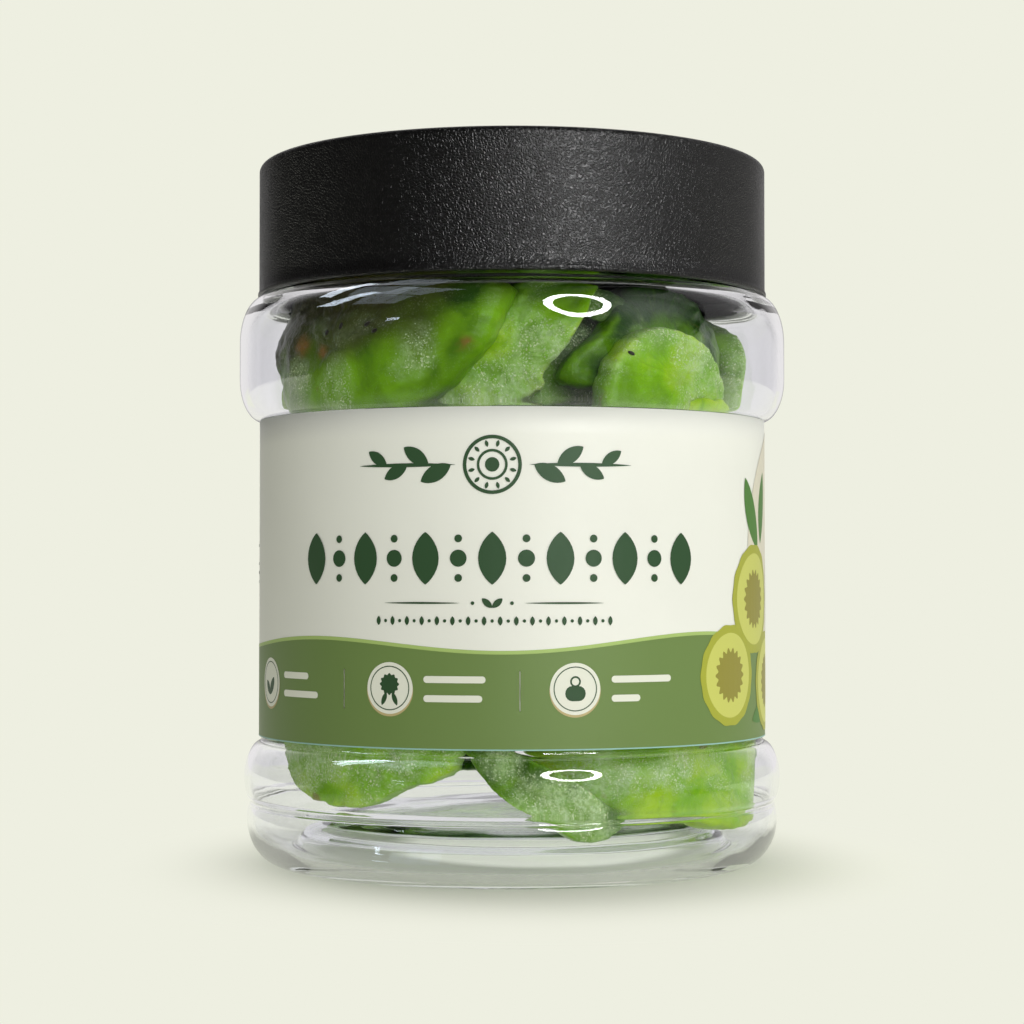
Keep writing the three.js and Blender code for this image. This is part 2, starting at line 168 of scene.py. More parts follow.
class JarSettings(bpy.types.PropertyGroup):
    """Sizes and colour of the clear jar."""

    wall: length_setting("Wall", "Thickness of the jar's wall", 1.1)
    foot_radius: length_setting("Foot Radius", "Outer radius of the ring the jar stands on", 38.3)
    neck_radius: length_setting("Neck Radius", "Outer radius of the neck under the lid", 40)
    waviness: length_setting("Waviness", "How far the blown inner wall strays from round", 0.12)
    color: color_setting("Color", "Tint of the clear plastic", (0.955, 0.962, 0.985))


class LidSettings(bpy.types.PropertyGroup):
    """Sizes and colour of the screw lid."""

    edge_round: length_setting("Edge Round", "Radius of the lid's rounded top edge", 1.2)
    grain: length_setting("Grain", "Size of the pebbles in the lid's grain", 0.48)
    color: color_setting("Color", "Colour of the lid's plastic", (0.0020, 0.0018, 0.0017))


class LabelSettings(bpy.types.PropertyGroup):
    """Colours of the label and its print."""

    ivory: color_setting("Ivory", "Ground of the label", (0.855, 0.86, 0.79))
    band: color_setting("Band", "Green band along the bottom", (0.160, 0.250, 0.066))
    piping: color_setting("Piping", "Thin line along the top of the band", (0.40, 0.55, 0.16))
    ink: color_setting("Ink", "Dark green of the ornaments", (0.030, 0.085, 0.030))
    piping_width: length_setting("Piping Width", "Height of the line above the band", 0.55)


class FruitSettings(bpy.types.PropertyGroup):
    """Sizes and colours of the slices."""

    thickness: length_setting("Thickness", "Thickness of a slice", 6.4)
    seed_length: length_setting("Seed Length", "Length of a seed", 1.25)
    deep: color_setting("Deep", "Colour of the darker flesh", (0.016, 0.072, 0.0012))
    lime: color_setting("Lime", "Colour of the brighter flesh", (0.23, 0.51, 0.004))
    frost: color_setting("Frost", "Colour of the sugar bloom", (0.56, 0.74, 0.38))


class StageSettings(bpy.types.PropertyGroup):
    """The camera, the floor and the light."""

    distance: length_setting("Distance", "From the camera to the jar's axis", 410.6)
    height: length_setting("Height", "Height of the camera above the floor", 47.7)
    pitch: FloatProperty(
        name="Pitch", description="How far the camera looks up", default=math.radians(1.506),
        subtype="ANGLE")
    lens: FloatProperty(
        name="Lens", description="Focal length on a 36 mm sensor", default=85.6, min=1)
    key: FloatProperty(
        name="Key", description="Power of the key light", default=2.3, min=0, unit="POWER")
    fill: FloatProperty(
        name="Fill", description="Strength of the soft light from all round", default=0.86, min=0)
    ground: color_setting(
        "Ground", "Colour of the floor and what lies behind", (0.855, 0.863, 0.753))


# ---------------------------------------------------------------- shared makers


def draw(place):
    """A number from 0 to 1 that is always the same for the same place in the order."""
    value = math.sin(place * 12.9898 + 4.1414) * 43758.5453
    return value - math.floor(value)


def between(limits, share):
    """The value that lies this share of the way between two limits."""
    return limits[0] + (limits[1] - limits[0]) * share


def smooth(value, low, high):
    """A smooth step from 0 at low to 1 at high."""
    share = min(1, max(0, (value - low) / (high - low)))
    return share * share * (3 - 2 * share)


def ellipse_arc(center, across, up, start, stop, steps):
    """Points on an ellipse about center, from one angle in degrees to another."""
    points = []
    for i in range(steps + 1):
        angle = math.radians(start + (stop - start) * i / steps)
        points.append((center[0] + across * math.cos(angle), center[1] + up * math.sin(angle)))
    return points


def add_piece(name, mesh_data, material):
    """Puts a finished bmesh, in millimetres, into the scene as a named piece on the one body."""
    bmesh.ops.scale(mesh_data, vec=Vector((MM, MM, MM)), verts=mesh_data.verts)
    mesh = bpy.data.meshes.new(name)
    mesh_data.to_mesh(mesh)
    mesh_data.free()
    piece = bpy.data.objects.new(name, mesh)
    bpy.context.scene.collection.objects.link(piece)
    mesh.materials.append(material)
    mesh.shade_smooth()
    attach(piece, "root")
    return piece


def spun(profile, steps):
    """A round body on the Z axis from the half section in profile, a list of radius and height."""
    body = bmesh.new()
    corners = [body.verts.new((radius, 0, height)) for radius, height in profile]
    edges = [body.edges.new(pair) for pair in zip(corners, corners[1:])]
    bmesh.ops.spin(
        body, geom=corners + edges, cent=(0, 0, 0), axis=(0, 0, 1), dvec=(0, 0, 0),
        angle=FULL_TURN, steps=steps, use_merge=True, use_normal_flip=False, use_duplicate=False)
    bmesh.ops.remove_doubles(body, verts=body.verts, dist=1e-4)
    bmesh.ops.recalc_face_normals(body, faces=body.faces)
    return in_fixed_order(body)


def in_fixed_order(body):
    """The same bmesh with its corners and faces in order of place, as merging mixes them up."""
    ordered = bmesh.new()
    corners = {}
    for corner in sorted(body.verts, key=lambda corner: tuple(corner.co)):
        corners[corner] = ordered.verts.new(corner.co)
    ordered.verts.index_update()
    rings = []
    for face in body.faces:
        ring = [corners[corner] for corner in face.verts]
        first = min(range(len(ring)), key=lambda i: ring[i].index)
        rings.append(ring[first:] + ring[:first])
    for ring in sorted(rings, key=lambda ring: [corner.index for corner in ring]):
        ordered.faces.new(ring)
    ordered.faces.index_update()
    ordered.normal_update()
    body.free()
    return ordered


def dense(points, longest):
    """The same line of points, with more put in where two lie further apart than longest."""
    filled = [points[0]]
    for here, there in zip(points, points[1:]):
        count = max(1, math.ceil(math.dist(here, there) / longest))
        for i in range(1, count + 1):
            filled.append(tuple(between((a, b), i / count) for a, b in zip(here, there)))
    return filled


# ---------------------------------------------------------------- materials


def new_material(name):
    """A material with a Principled shader: the material, its nodes' tree and the shader."""
    material = bpy.data.materials.new(name)
    material.use_nodes = True
    tree = material.node_tree
    return material, tree, tree.nodes["Principled BSDF"]


def fill(tree, node, inputs):
    """Sets a node's inputs, by name or place, to plain values, or joins sockets to them."""
    for key, value in inputs.items():
        if isinstance(value, bpy.types.NodeSocket):
            tree.links.new(value, node.inputs[key])
        else:
            node.inputs[key].default_value = value


def add_node(tree, kind, inputs=None, **settings):
    """A node of this kind with its settings and its inputs."""
    made = tree.nodes.new(kind)
    for key, value in settings.items():
        setattr(made, key, value)
    fill(tree, made, inputs or {})
    return made


def math_node(tree, operation, *values, clamp=False):
    """The output of a Math node on sockets or plain numbers."""
    return add_node(tree, "ShaderNodeMath", dict(enumerate(values)), operation=operation,
                    use_clamp=clamp).outputs[0]


def product(tree, first, *others):
    """Sockets or plain numbers, multiplied."""
    for other in others:
        first = math_node(tree, "MULTIPLY", first, other)
    return first


def largest(tree, first, *others):
    """The largest of some sockets."""
    for other in others:
        first = math_node(tree, "MAXIMUM", first, other)
    return first


def vector_node(tree, operation, *values, output="Vector"):
    """The output of a Vector Math node on sockets or plain vectors."""
    return add_node(tree, "ShaderNodeVectorMath", dict(enumerate(values)),
                    operation=operation).outputs[output]


def place_node(tree, name="Object"):
    """The place on the piece in its own coordinates."""
    return tree.nodes.new("ShaderNodeTexCoord").outputs[name]


def light_path(tree):
    """What a Light Path node tells of a ray."""
    return tree.nodes.new("ShaderNodeLightPath").outputs


def ramp(tree, value, low, high, low_out=0.0, high_out=1.0):
    """A socket's value, mapped smoothly from one range to another."""
    return add_node(tree, "ShaderNodeMapRange", {
        "Value": value, "From Min": low, "From Max": high, "To Min": low_out, "To Max": high_out,
    }, interpolation_type="SMOOTHSTEP").outputs["Result"]


def blend_colors(tree, factor, first, second):
    """Two colours mixed by a factor. Each is a socket or a plain colour."""
    pair = [color if isinstance(color, bpy.types.NodeSocket) else (*color[:3], 1)
            for color in (first, second)]
    return add_node(tree, "ShaderNodeMix", {0: factor, 6: pair[0], 7: pair[1]},
                    data_type="RGBA").outputs[2]


def mix_shaders(tree, factor, first, second):
    """Two shaders, mixed by a factor."""
    return add_node(tree, "ShaderNodeMixShader", {0: factor, 1: first, 2: second}).outputs[0]


def attribute(tree, name):
    """A value that a piece's corners carry."""
    return add_node(tree, "ShaderNodeAttribute", attribute_name=name).outputs["Fac"]


def noise_at(tree, place, scale, detail=2, distortion=0.0):
    """Noise at a place, with scale in features for each unit of it."""
    return add_node(tree, "ShaderNodeTexNoise", {
        "Vector": place, "Scale": scale, "Detail": detail, "Distortion": distortion})


def object_noise(tree, scale, detail=3, distortion=0.0, stretch=None):
    """Noise on the piece's own coordinates, with scale in features for each metre."""
    place = place_node(tree)
    if stretch:
        place = add_node(tree, "ShaderNodeMapping", {"Vector": place, "Scale": stretch}).outputs[0]
    made = noise_at(tree, place, scale, detail, distortion)
    made.inputs["Roughness"].default_value = 0.55
    return made.outputs["Fac"]


def bump(tree, shader, height, strength, distance):
    """A bump on the shader from this height, given in metres for a full step."""
    made = add_node(tree, "ShaderNodeBump", {
        "Height": height, "Strength": strength, "Distance": distance})
    tree.links.new(made.outputs["Normal"], shader.inputs["Normal"])


def surface_wear_group():
    """A node group for handled surfaces: soft smudges for roughness and fine grain for height."""
    known = bpy.data.node_groups.get("handled_surface")
    if known:
        return known
    group = bpy.data.node_groups.new("handled_surface", "ShaderNodeTree")
    sockets = (("Smudge Scale", "INPUT"), ("Grain Scale", "INPUT"), ("Smudge", "OUTPUT"),
               ("Grain", "OUTPUT"))
    for name, way in sockets:
        group.interface.new_socket(name, in_out=way, socket_type="NodeSocketFloat")
    inside = group.nodes.new("NodeGroupInput")
    outside = group.nodes.new("NodeGroupOutput")
    place = place_node(group)
    for i, detail in enumerate((4, 2)):
        texture = noise_at(group, place, inside.outputs[i], detail)
        group.links.new(texture.outputs["Fac"], outside.inputs[i])
    return group


def use_wear(tree, smudge_scale, grain_scale):
    """The outputs of the handled-surface group, placed in a material with its own scales."""
    made = add_node(tree, "ShaderNodeGroup", node_tree=surface_wear_group())
    fill(tree, made, {"Smudge Scale": smudge_scale, "Grain Scale": grain_scale})
    return made.outputs


def let_light_through(tree, shader):
    """Lets light from lamps and matt things pass a clear wall, and what is caught in it go on."""
    path = light_path(tree)
    lit = largest(tree, path["Is Shadow Ray"], path["Is Diffuse Ray"],
                  math_node(tree, "GREATER_THAN", path["Transmission Depth"], 6.5),
                  math_node(tree, "GREATER_THAN", path["Glossy Depth"], 4.5))
    clear = add_node(tree, "ShaderNodeBsdfTransparent", {"Color": (0.93, 0.94, 0.94, 1)})
    mixed = mix_shaders(tree, lit, shader.outputs["BSDF"], clear.outputs["BSDF"])
    tree.links.new(mixed, tree.nodes["Material Output"].inputs["Surface"])


def clear_plastic():
    """The jar's clear plastic, a little uneven as blown plastic is."""
    material, tree, shader = new_material("clear_plastic")
    fill(tree, shader, {
        "Base Color": (*bpy.context.scene.kiwi_jar.color, 1), "Roughness": 0.0, "IOR": 1.5,
        "Transmission Weight": 1})
    bump(tree, shader, object_noise(tree, 70, detail=1, stretch=(1, 1, 0.7)), 0.35, 0.0006)
    let_light_through(tree, shader)
    return material


def black_plastic():
    """The lid's black plastic with its pebbled grain."""
    settings = bpy.context.scene.kiwi_lid
    material, tree, shader = new_material("black_plastic")
    place = place_node(tree)
    nudge = add_node(tree, "ShaderNodeVectorMath", {
        0: noise_at(tree, place, 900).outputs["Color"], "Scale": 0.0005}, operation="SCALE")
    moved = vector_node(tree, "ADD", place, nudge.outputs["Vector"])
    pebbles = add_node(tree, "ShaderNodeTexVoronoi", {
        "Vector": moved, "Scale": 1 / settings.grain}, feature="DISTANCE_TO_EDGE")
    domes = ramp(tree, pebbles.outputs["Distance"], 0.0, 0.32)
    wear = use_wear(tree, 45, 4200)
    bump(tree, shader, math_node(tree, "ADD", domes, product(tree, wear["Grain"], 0.5)),
         1.0, 0.00006)
    fill(tree, shader, {
        "Base Color": blend_colors(tree, domes, [0.6 * c for c in settings.color], settings.color),
        "Roughness": ramp(tree, wear["Smudge"], 0.3, 0.7, 0.32, 0.41),
        "Specular IOR Level": 0.6})
    return material


def printed_film(name, color):
    """Satin printed film in one ink, with a faint mottle and a fine grain."""
    material, tree, shader = new_material(name)
    wear = use_wear(tree, 30, 5200)
    fill(tree, shader, {
        "Base Color": blend_colors(tree, ramp(tree, wear["Smudge"], 0.35, 0.65),
                                   [0.965 * c for c in color], color),
        "Roughness": ramp(tree, wear["Smudge"], 0.3, 0.7, 0.41, 0.49),
        "Specular IOR Level": 0.34})
    bump(tree, shader, wear["Grain"], 0.12, 0.00003)
    return material


def kiwi_flesh():
    """Translucent green flesh with a pale core, fibres out to the rim, sugar bloom and spots; its tone
    carries a painted rim glow and painted shade under the lid, and its dark brown top is partly
    painted shade.
    """
    settings = bpy.context.scene.kiwi_fruit
    material, tree, shader = new_material("kiwi_flesh")
    across = add_node(tree, "ShaderNodeUVMap", uv_map="slice").outputs["UV"]
    centered = vector_node(tree, "SUBTRACT", across, (0.5, 0.5, 0))
    reach = product(tree, vector_node(tree, "LENGTH", centered, output="Value"), 2.0)
    heading = vector_node(tree, "NORMALIZE", centered)
    lift = add_node(tree, "ShaderNodeCombineXYZ", {"Z": reach}).outputs["Vector"]
    fibre_place = vector_node(tree, "MULTIPLY_ADD", heading, (11, 11, 11), lift)
    fibres = noise_at(tree, fibre_place, 1.0, 3).outputs["Fac"]

    tone, frost, brown_and_shade, mark = (
        attribute(tree, name) for name in ("tone", "frost", "brown_and_shade", "mark"))
    clouds = object_noise(tree, 95, detail=4, distortion=0.4)
    # The tone brings each slice's own brightness together with a painted rim glow and painted shade
    # under the lid.
    depth = math_node(tree, "ADD", ramp(tree, clouds, 0.34, 0.68, -0.36, 0.30), tone)
    bloom = product(
        tree, frost, ramp(tree, object_noise(tree, 420, detail=5), 0.34, 0.54, 0.3, 1.0),
        ramp(tree, object_noise(tree, 1700), 0.38, 0.60, 0.5, 1.0))
    speck = product(
        tree, ramp(tree, object_noise(tree, 3400, detail=1), 0.58, 0.66),
        ramp(tree, object_noise(tree, 330, detail=2), 0.40, 0.58, 0.1, 1.0),
        ramp(tree, frost, 0.0, 0.5, 0.06, 1.0))
    streaks = product(tree, ramp(tree, fibres, 0.5, 0.66), ramp(tree, reach, 0.2, 0.42, 0.0, 0.22))
    spots = ramp(tree, object_noise(tree, 120, detail=2), 0.70, 0.745, 0.0, 0.7)
    flesh = blend_colors(
        tree, math_node(tree, "ADD", depth, 0.0, clamp=True), settings.deep, settings.lime)
    layers = (
        (ramp(tree, depth, 0.95, 1.5, 0.0, 0.85), (0.44, 0.68, 0.010)),
        (streaks, [0.5 * c for c in settings.lime]),
        (ramp(tree, reach, 0.14, 0.25, 0.25, 0.0), (0.30, 0.48, 0.08)),
        # Dark brown toward the top of a slice: partly its own browning, partly painted shade under the
        # lid.
        (product(tree, brown_and_shade, 0.9), (0.036, 0.030, 0.006)),
        (spots, (0.24, 0.15, 0.03)),
        (product(tree, mark, ramp(tree, object_noise(tree, 500), 0.4, 0.6, 0.4, 0.9)),
         (0.26, 0.13, 0.03)),
        (product(tree, bloom, 0.9), settings.frost),
        (product(tree, speck, 0.9), (0.82, 0.93, 0.60)),
    )
    for share, color in layers:
        flesh = blend_colors(tree, share, flesh, color)
    fill(tree, shader, {
        "Base Color": flesh, "Roughness": ramp(tree, bloom, 0.0, 0.8, 0.30, 0.62),
        "Subsurface Weight": 0.22, "Subsurface Radius": (0.55, 1.0, 0.12),
        "Subsurface Scale": 2.4 * MM, "IOR": 1.42, "Specular IOR Level": 0.2})
    crust = math_node(tree, "ADD", object_noise(tree, 900, detail=4), product(tree, speck, 0.5))
    crust = math_node(tree, "ADD", crust, product(tree, fibres, 0.6))
    bump(tree, shader, crust, 0.7, 0.0003)
    return material


def plain_matter(name, color, roughness, bump_scale, bump_depth):
    """A simple finish: a colour that varies a little, and a fine relief."""
    material, tree, shader = new_material(name)
    fill(tree, shader, {
        "Base Color": blend_colors(tree, object_noise(tree, bump_scale / 4),
                                   [0.7 * c for c in color], [1.2 * c for c in color]),
        "Roughness": roughness})
    bump(tree, shader, object_noise(tree, bump_scale), 0.6, bump_depth)
    return material


# ---------------------------------------------------------------- jar


# The dome of the jar's floor, and the height of the widest line of the ring above the crease.
DOME_RADIUS = 32.4
DOME_RISE = 4.6
RING_HEIGHT = 14.4


def jar_profile():
    """The jar's half section, from the middle of its underside round to the middle of its floor."""
    settings = bpy.context.scene.kiwi_jar
    wall = settings.wall / MM
    foot = settings.foot_radius / MM
    neck = settings.neck_radius / MM
    panel = LABEL_RADIUS - 0.4
    bead, ring = BULGE_RADIUS - 1.4, BULGE_RADIUS - 0.9
    crease = ring - 0.95
    bulge_low, bulge_high = LABEL_HIGH.z + 6.95, LABEL_HIGH.z + 12.95
    shoulder = (panel + 0.2, LID_LOW.z - 0.4)
    rim = JAR_HIGH.z
    outside = [
        *ellipse_arc((0, 4.7), DOME_RADIUS, DOME_RISE, 90, 8, 12), (33.4, 4.5), (34.2, 3.8),
        (36.0, 0.7), (36.5, 0.15), (37.0, 0.0),
        *ellipse_arc((foot, 7.5), bead - foot, 7.5, -90, 0, 18),
        *ellipse_arc((crease - 0.55, 7.5), bead - crease + 0.55, 3.0, 8, 58, 5),
        *ellipse_arc((crease + 0.75, 10.5), 0.85, 0.75, 220, 140, 6),
        *ellipse_arc((crease - 0.4, RING_HEIGHT), ring - crease + 0.4, 3.9, -52, 0, 7),
        *ellipse_arc((panel - 0.2, RING_HEIGHT), ring - panel + 0.2, 6.0, 4, 84, 12),
        (panel, LABEL_LOW.z - 0.2),
        (panel, LABEL_HIGH.z + 0.02),
        *ellipse_arc((panel, bulge_low), BULGE_RADIUS - panel, bulge_low - LABEL_HIGH.z - 0.08,
                     -84, 0, 12),
        *ellipse_arc((shoulder[0], bulge_high), BULGE_RADIUS - shoulder[0],
                     shoulder[1] - bulge_high, 0, 88, 12),
        (neck + 0.9, shoulder[1] + 0.1), (neck + 0.2, shoulder[1] + 0.5), (neck, shoulder[1] + 1.2),
        (neck, rim - 0.4), (neck - 0.4, rim),
    ]
    inside = [
        (neck - 1.0, rim), (neck - 1.4, rim - 0.4), (neck - 1.4, LID_LOW.z + 0.2),
        *ellipse_arc((shoulder[0] - wall, bulge_high), BULGE_RADIUS - shoulder[0],
                     shoulder[1] - bulge_high - wall, 88, 0, 10),
        *ellipse_arc((panel - wall, bulge_low), BULGE_RADIUS - panel,
                     bulge_low - LABEL_HIGH.z - 0.2, 0, -86, 10),
        (panel - wall, LABEL_HIGH.z - 0.4),
        (panel - wall, LABEL_LOW.z),
        *ellipse_arc((panel - 0.2 - wall, RING_HEIGHT), ring - panel + 0.2, 5.4, 80, 0, 10),
        *ellipse_arc((crease - 0.4 - wall, RING_HEIGHT), ring - crease + 0.4, 3.7, -6, -60, 5),
        (crease - wall - 0.05, 10.5),
        *ellipse_arc((crease - 0.55 - wall, 7.5), bead - crease + 0.55, 2.7, 60, 8, 4),
        *ellipse_arc((foot - 0.6, 7.5), bead - wall - foot + 0.6, 5.9, 0, -76, 12),
        (37.2, 1.7), (36.2, 2.6), (35.0, 5.0), (34.2, 5.9), (33.2, 6.4),
        *ellipse_arc((0, 6.1), DOME_RADIUS, DOME_RISE - 0.1, 8, 90, 12),
    ]
    return dense(outside + inside, 3.0)


class KIWI_OT_jar(bpy.types.Operator):
    """Make the clear jar, open at its neck, with a pushed-up floor inside a ring-shaped foot"""

    bl_idname = "kiwi.jar"
    bl_label = "Clear Jar"

    def execute(self, context):
        body = spun(jar_profile(), 144)
        waviness = context.scene.kiwi_jar.waviness / MM
        body.normal_update()
        for corner in body.verts:
            outward = Vector((corner.co.x, corner.co.y, 0))
            if outward.length < 1 or corner.normal.dot(outward) > 0:
                continue
            place = Vector((corner.co.x, corner.co.y, 0.6 * corner.co.z)) / 14
            corner.co += corner.normal * waviness * noise.noise(place)
        piece = add_piece("jar_wall", body, clear_plastic())
        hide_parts("jar")
        return {"FINISHED"}


# ---------------------------------------------------------------- lid


class KIWI_OT_lid(bpy.types.Operator):
    """Make the screw lid: a cap with a rounded top edge, a narrow lip and a thread inside"""

    bl_idname = "kiwi.lid"
    bl_label = "Screw Lid"

    def execute(self, context):
        edge = context.scene.kiwi_lid.edge_round / MM
        low, top = LID_LOW.z, LID_HIGH.z
        lip = LID_RADIUS
        skirt = lip - 0.2
        inner = skirt - 1.2
        crown = top - 1.6
        bead = 0.6
        profile = [(0, crown), (inner - 0.8, crown), (inner, crown - 0.8)]
        for turn in (1, 0):
            middle = low + 5.5 + 5.1 * turn
            profile += [(inner - bead * math.cos(math.radians(a)),
                         middle - bead * math.sin(math.radians(a)) * 1.4)
                        for a in range(-90, 91, 30)]
        profile += [
            (inner, low + 0.3), (inner + 0.25, low), (lip - 0.15, low), (lip, low + 0.15),
            (lip, low + 0.55), (lip - 0.05, low + 0.72), (skirt, low + 0.85),
            *ellipse_arc((skirt - edge, top - edge), edge, edge, 0, 90, 12),
            (0, top),
        ]
        body = spun(dense(profile, 2.5), 160)
        piece = add_piece("lid_cap", body, black_plastic())
        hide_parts("lid")
        return {"FINISHED"}


# ---------------------------------------------------------------- label


def band_top(angle):
    """The height of the green band's wavy top at an angle round the jar, in millimetres."""
    return 37.0 - 1.15 * math.cos(4 * angle) + 0.35 * math.sin(2 * angle)


def on_label(along, height, radius):
    """The point of the label's face this far along it from the front, at this height."""
    angle = along / LABEL_RADIUS
    return Vector((radius * math.sin(angle), -radius * math.cos(angle), height))


def sleeve(low, high, radius, rows, overlap=0.0):
    """A sheet bent round the jar between two heights, which are functions of the angle."""
    sheet = bmesh.new()
    bmesh.ops.create_grid(sheet, x_segments=240, y_segments=rows, size=1)
    half_turn = math.pi * LABEL_RADIUS + overlap
    for corner in sheet.verts:
        along, share = corner.co.x * half_turn, (corner.co.y + 1) / 2
        angle = along / LABEL_RADIUS
        lifted = radius + 0.14 * smooth(along, half_turn - 2 * overlap - 2, half_turn - 2 * overlap)
        height = between((low(angle), high(angle)), share)
        corner.co = on_label(along, height, lifted if overlap else radius)
    bmesh.ops.recalc_face_normals(sheet, faces=sheet.faces)
    face = next(iter(sheet.faces))
    middle = face.calc_center_median()
    if face.normal.dot(Vector((middle.x, middle.y, 0))) < 0:
        bmesh.ops.reverse_faces(sheet, faces=sheet.faces)
    return sheet


def flat_disc(sheet, along, height, radius, segments=40):
    """A filled disc in the flat print."""
    return bmesh.ops.create_circle(
        sheet, cap_ends=True, radius=radius, segments=segments,
        matrix=Matrix.Translation((along, height, 0)))["verts"]


def flat_ring(sheet, along, height, radius, width, segments=48):
    """A thin ring in the flat print."""
    corners = flat_disc(sheet, along, height, radius, segments)
    face = corners[0].link_faces[0]
    bmesh.ops.inset_individual(sheet, faces=[face], thickness=width, use_even_offset=True)
    bmesh.ops.delete(sheet, geom=[face], context="FACES")


def flat_leaf(sheet, along, height, length, width, turn, bend=0.0):
    """A pointed leaf whose stalk end is at the given place. Turn is its heading in degrees."""
    corners = bmesh.ops.create_circle(
        sheet, cap_ends=True, radius=1, segments=28, matrix=Matrix.Identity(4))["verts"]
    heading = Matrix.Rotation(math.radians(turn), 3, "Z")
    for corner in corners:
        share = corner.co.x
        side = math.copysign(1, corner.co.y) if abs(corner.co.y) > 1e-6 else 0
        out = side * width / 2 * (1 - share * share) ** 0.85 + bend * (1 - share * share)
        corner.co = Vector((along, height, 0)) + heading @ Vector((length * (share + 1) / 2, out, 0))


def flat_bar(sheet, along, height, length, width):
    """A bar with round ends, its left end at the given place."""
    made = bmesh.ops.create_grid(sheet, x_segments=1, y_segments=1, size=0.5)
    for corner in made["verts"]:
        corner.co = Vector((along + length * (corner.co.x + 0.5), height + width * corner.co.y, 0))
    bmesh.ops.bevel(
        sheet, geom=made["verts"], offset=0.48 * width, offset_type="OFFSET", segments=4,
        profile=0.5, affect="VERTICES", material=-1)


def flat_petals(sheet, along, height, radius, count, depth):
    """A disc with a scalloped edge."""
    for corner in flat_disc(sheet, along, height, radius, count * 6):
        out = corner.co - Vector((along, height, 0))
        swell = 1 + depth * math.cos(count * math.atan2(out.y, out.x))
        corner.co = Vector((along, height, 0)) + out * swell


def wrap_print(sheet, proud):
    """Cuts a flat print into narrow strips and bends it round the label, a hair above its face."""
    reach = [corner.co.x for corner in sheet.verts]
    step = 1.6
    for i in range(math.floor(min(reach) / step), math.ceil(max(reach) / step) + 1):
        bmesh.ops.bisect_plane(
            sheet, geom=sheet.verts[:] + sheet.edges[:] + sheet.faces[:],
            plane_co=(i * step, 0, 0), plane_no=(1, 0, 0), dist=1e-5)
    for corner in sheet.verts:
        corner.co = on_label(corner.co.x, corner.co.y, LABEL_RADIUS + proud)
    sheet.normal_update()
    turned = [f for f in sheet.faces
              if f.normal.dot(f.calc_center_median() * Vector((1, 1, 0))) < 0]
    bmesh.ops.reverse_faces(sheet, faces=turned)


# Places on the label, in millimetres along it from the front and above the floor.
CREST_MIDDLE = -3.0
BADGES = (-49.3, -19.4, 9.7)
BADGE_HEIGHT = 30.6
BADGE_RADIUS = 3.95
DIVIDERS = (-27.9, 1.2)
BARS = ((-43.6, 7.4, 9.8), (-13.7, 9.7, 9.2), (15.5, 10.6, 4.9))
BACK_MIDDLE = 133.2
CREST_HEIGHT = 64.6
FRIEZE_HEIGHT = 50.4
RULE_HEIGHT = 43.6
FINE_ROW_HEIGHT = 40.9


def print_crest(sheet):
    """A roundel between two sprigs of leaves."""
    flat_ring(sheet, CREST_MIDDLE, CREST_HEIGHT, 4.5, 0.55)
    flat_ring(sheet, CREST_MIDDLE, CREST_HEIGHT, 2.35, 0.4)
    flat_disc(sheet, CREST_MIDDLE, CREST_HEIGHT, 1.1, 24)
    for turn in range(15, 360, 30):
        heading = math.radians(turn)
        flat_leaf(sheet, CREST_MIDDLE + 2.75 * math.cos(heading),
                  CREST_HEIGHT + 2.75 * math.sin(heading), 1.05, 0.55, turn)
    for side in (-1, 1):
        for i in range(4):
            turn = 90 - side * (56 if i % 2 else 118)
            flat_leaf(sheet, CREST_MIDDLE + side * (6.4 + 3.5 * i), CREST_HEIGHT,
                      5.4 - 0.5 * i, 2.5 - 0.25 * i, turn)
        flat_leaf(sheet, CREST_MIDDLE + side * 5.6, CREST_HEIGHT, 16.3, 0.6, 90 - 90 * side)


def print_frieze(sheet):
    """A row of big leaves with a dot between two small ones at each gap."""
    for i in range(13):
        along = CREST_MIDDLE + 5.2 * (i - 6)
        if i % 2:
            for up, radius, segments in ((0, 1.3, 24), (3, 0.6, 16), (-3, 0.6, 16)):
                flat_disc(sheet, along, FRIEZE_HEIGHT + up, radius, segments)
        else:
            flat_leaf(sheet, along, FRIEZE_HEIGHT - 4, 8.0, 4.3, 90)


def print_rules(sheet):
    """A thin line broken by two leaves, and a fine row of leaves and dots under it."""
    for side in (-1, 1):
        flat_leaf(sheet, CREST_MIDDLE + side * 4.9, RULE_HEIGHT, 12.4, 0.30, 90 - 90 * side)
        flat_disc(sheet, CREST_MIDDLE + side * 3.0, RULE_HEIGHT, 0.28, 16)
        flat_leaf(sheet, CREST_MIDDLE, RULE_HEIGHT - 0.7, 2.1, 1.0, 90 - 48 * side)
    for i in range(31):
        along = CREST_MIDDLE + 1.22 * (i - 15)
        if i % 2:
            flat_disc(sheet, along, FINE_ROW_HEIGHT, 0.26, 12)
        else:
            flat_leaf(sheet, along, FINE_ROW_HEIGHT - 0.7, 1.4, 0.72, 90)


def print_signs(sheet):
    """The signs on the badges: two leaves, a rosette with two tails, and a round weight."""
    leaves, rosette, weight = BADGES
    for place in BADGES:
        flat_ring(sheet, place, BADGE_HEIGHT, BADGE_RADIUS - 0.55, 0.16)
    flat_leaf(sheet, leaves - 0.2, BADGE_HEIGHT - 2.0, 3.4, 1.5, 58)
    flat_leaf(sheet, leaves - 0.2, BADGE_HEIGHT - 2.0, 2.9, 1.3, 128)
    flat_petals(sheet, rosette, BADGE_HEIGHT + 0.6, 1.55, 12, 0.09)
    for side in (-1, 1):
        flat_leaf(sheet, rosette + 0.5 * side, BADGE_HEIGHT - 0.6, 2.2, 0.8, 22 * side - 90)
    flat_bar(sheet, weight - 1.6, BADGE_HEIGHT - 0.7, 3.2, 2.3)
    flat_ring(sheet, weight, BADGE_HEIGHT + 1.1, 0.85, 0.28, 24)


def print_ink(sheet):
    """All the dark green ornaments of the front."""
    for shapes in (print_crest, print_frieze, print_rules, print_signs):
        shapes(sheet)


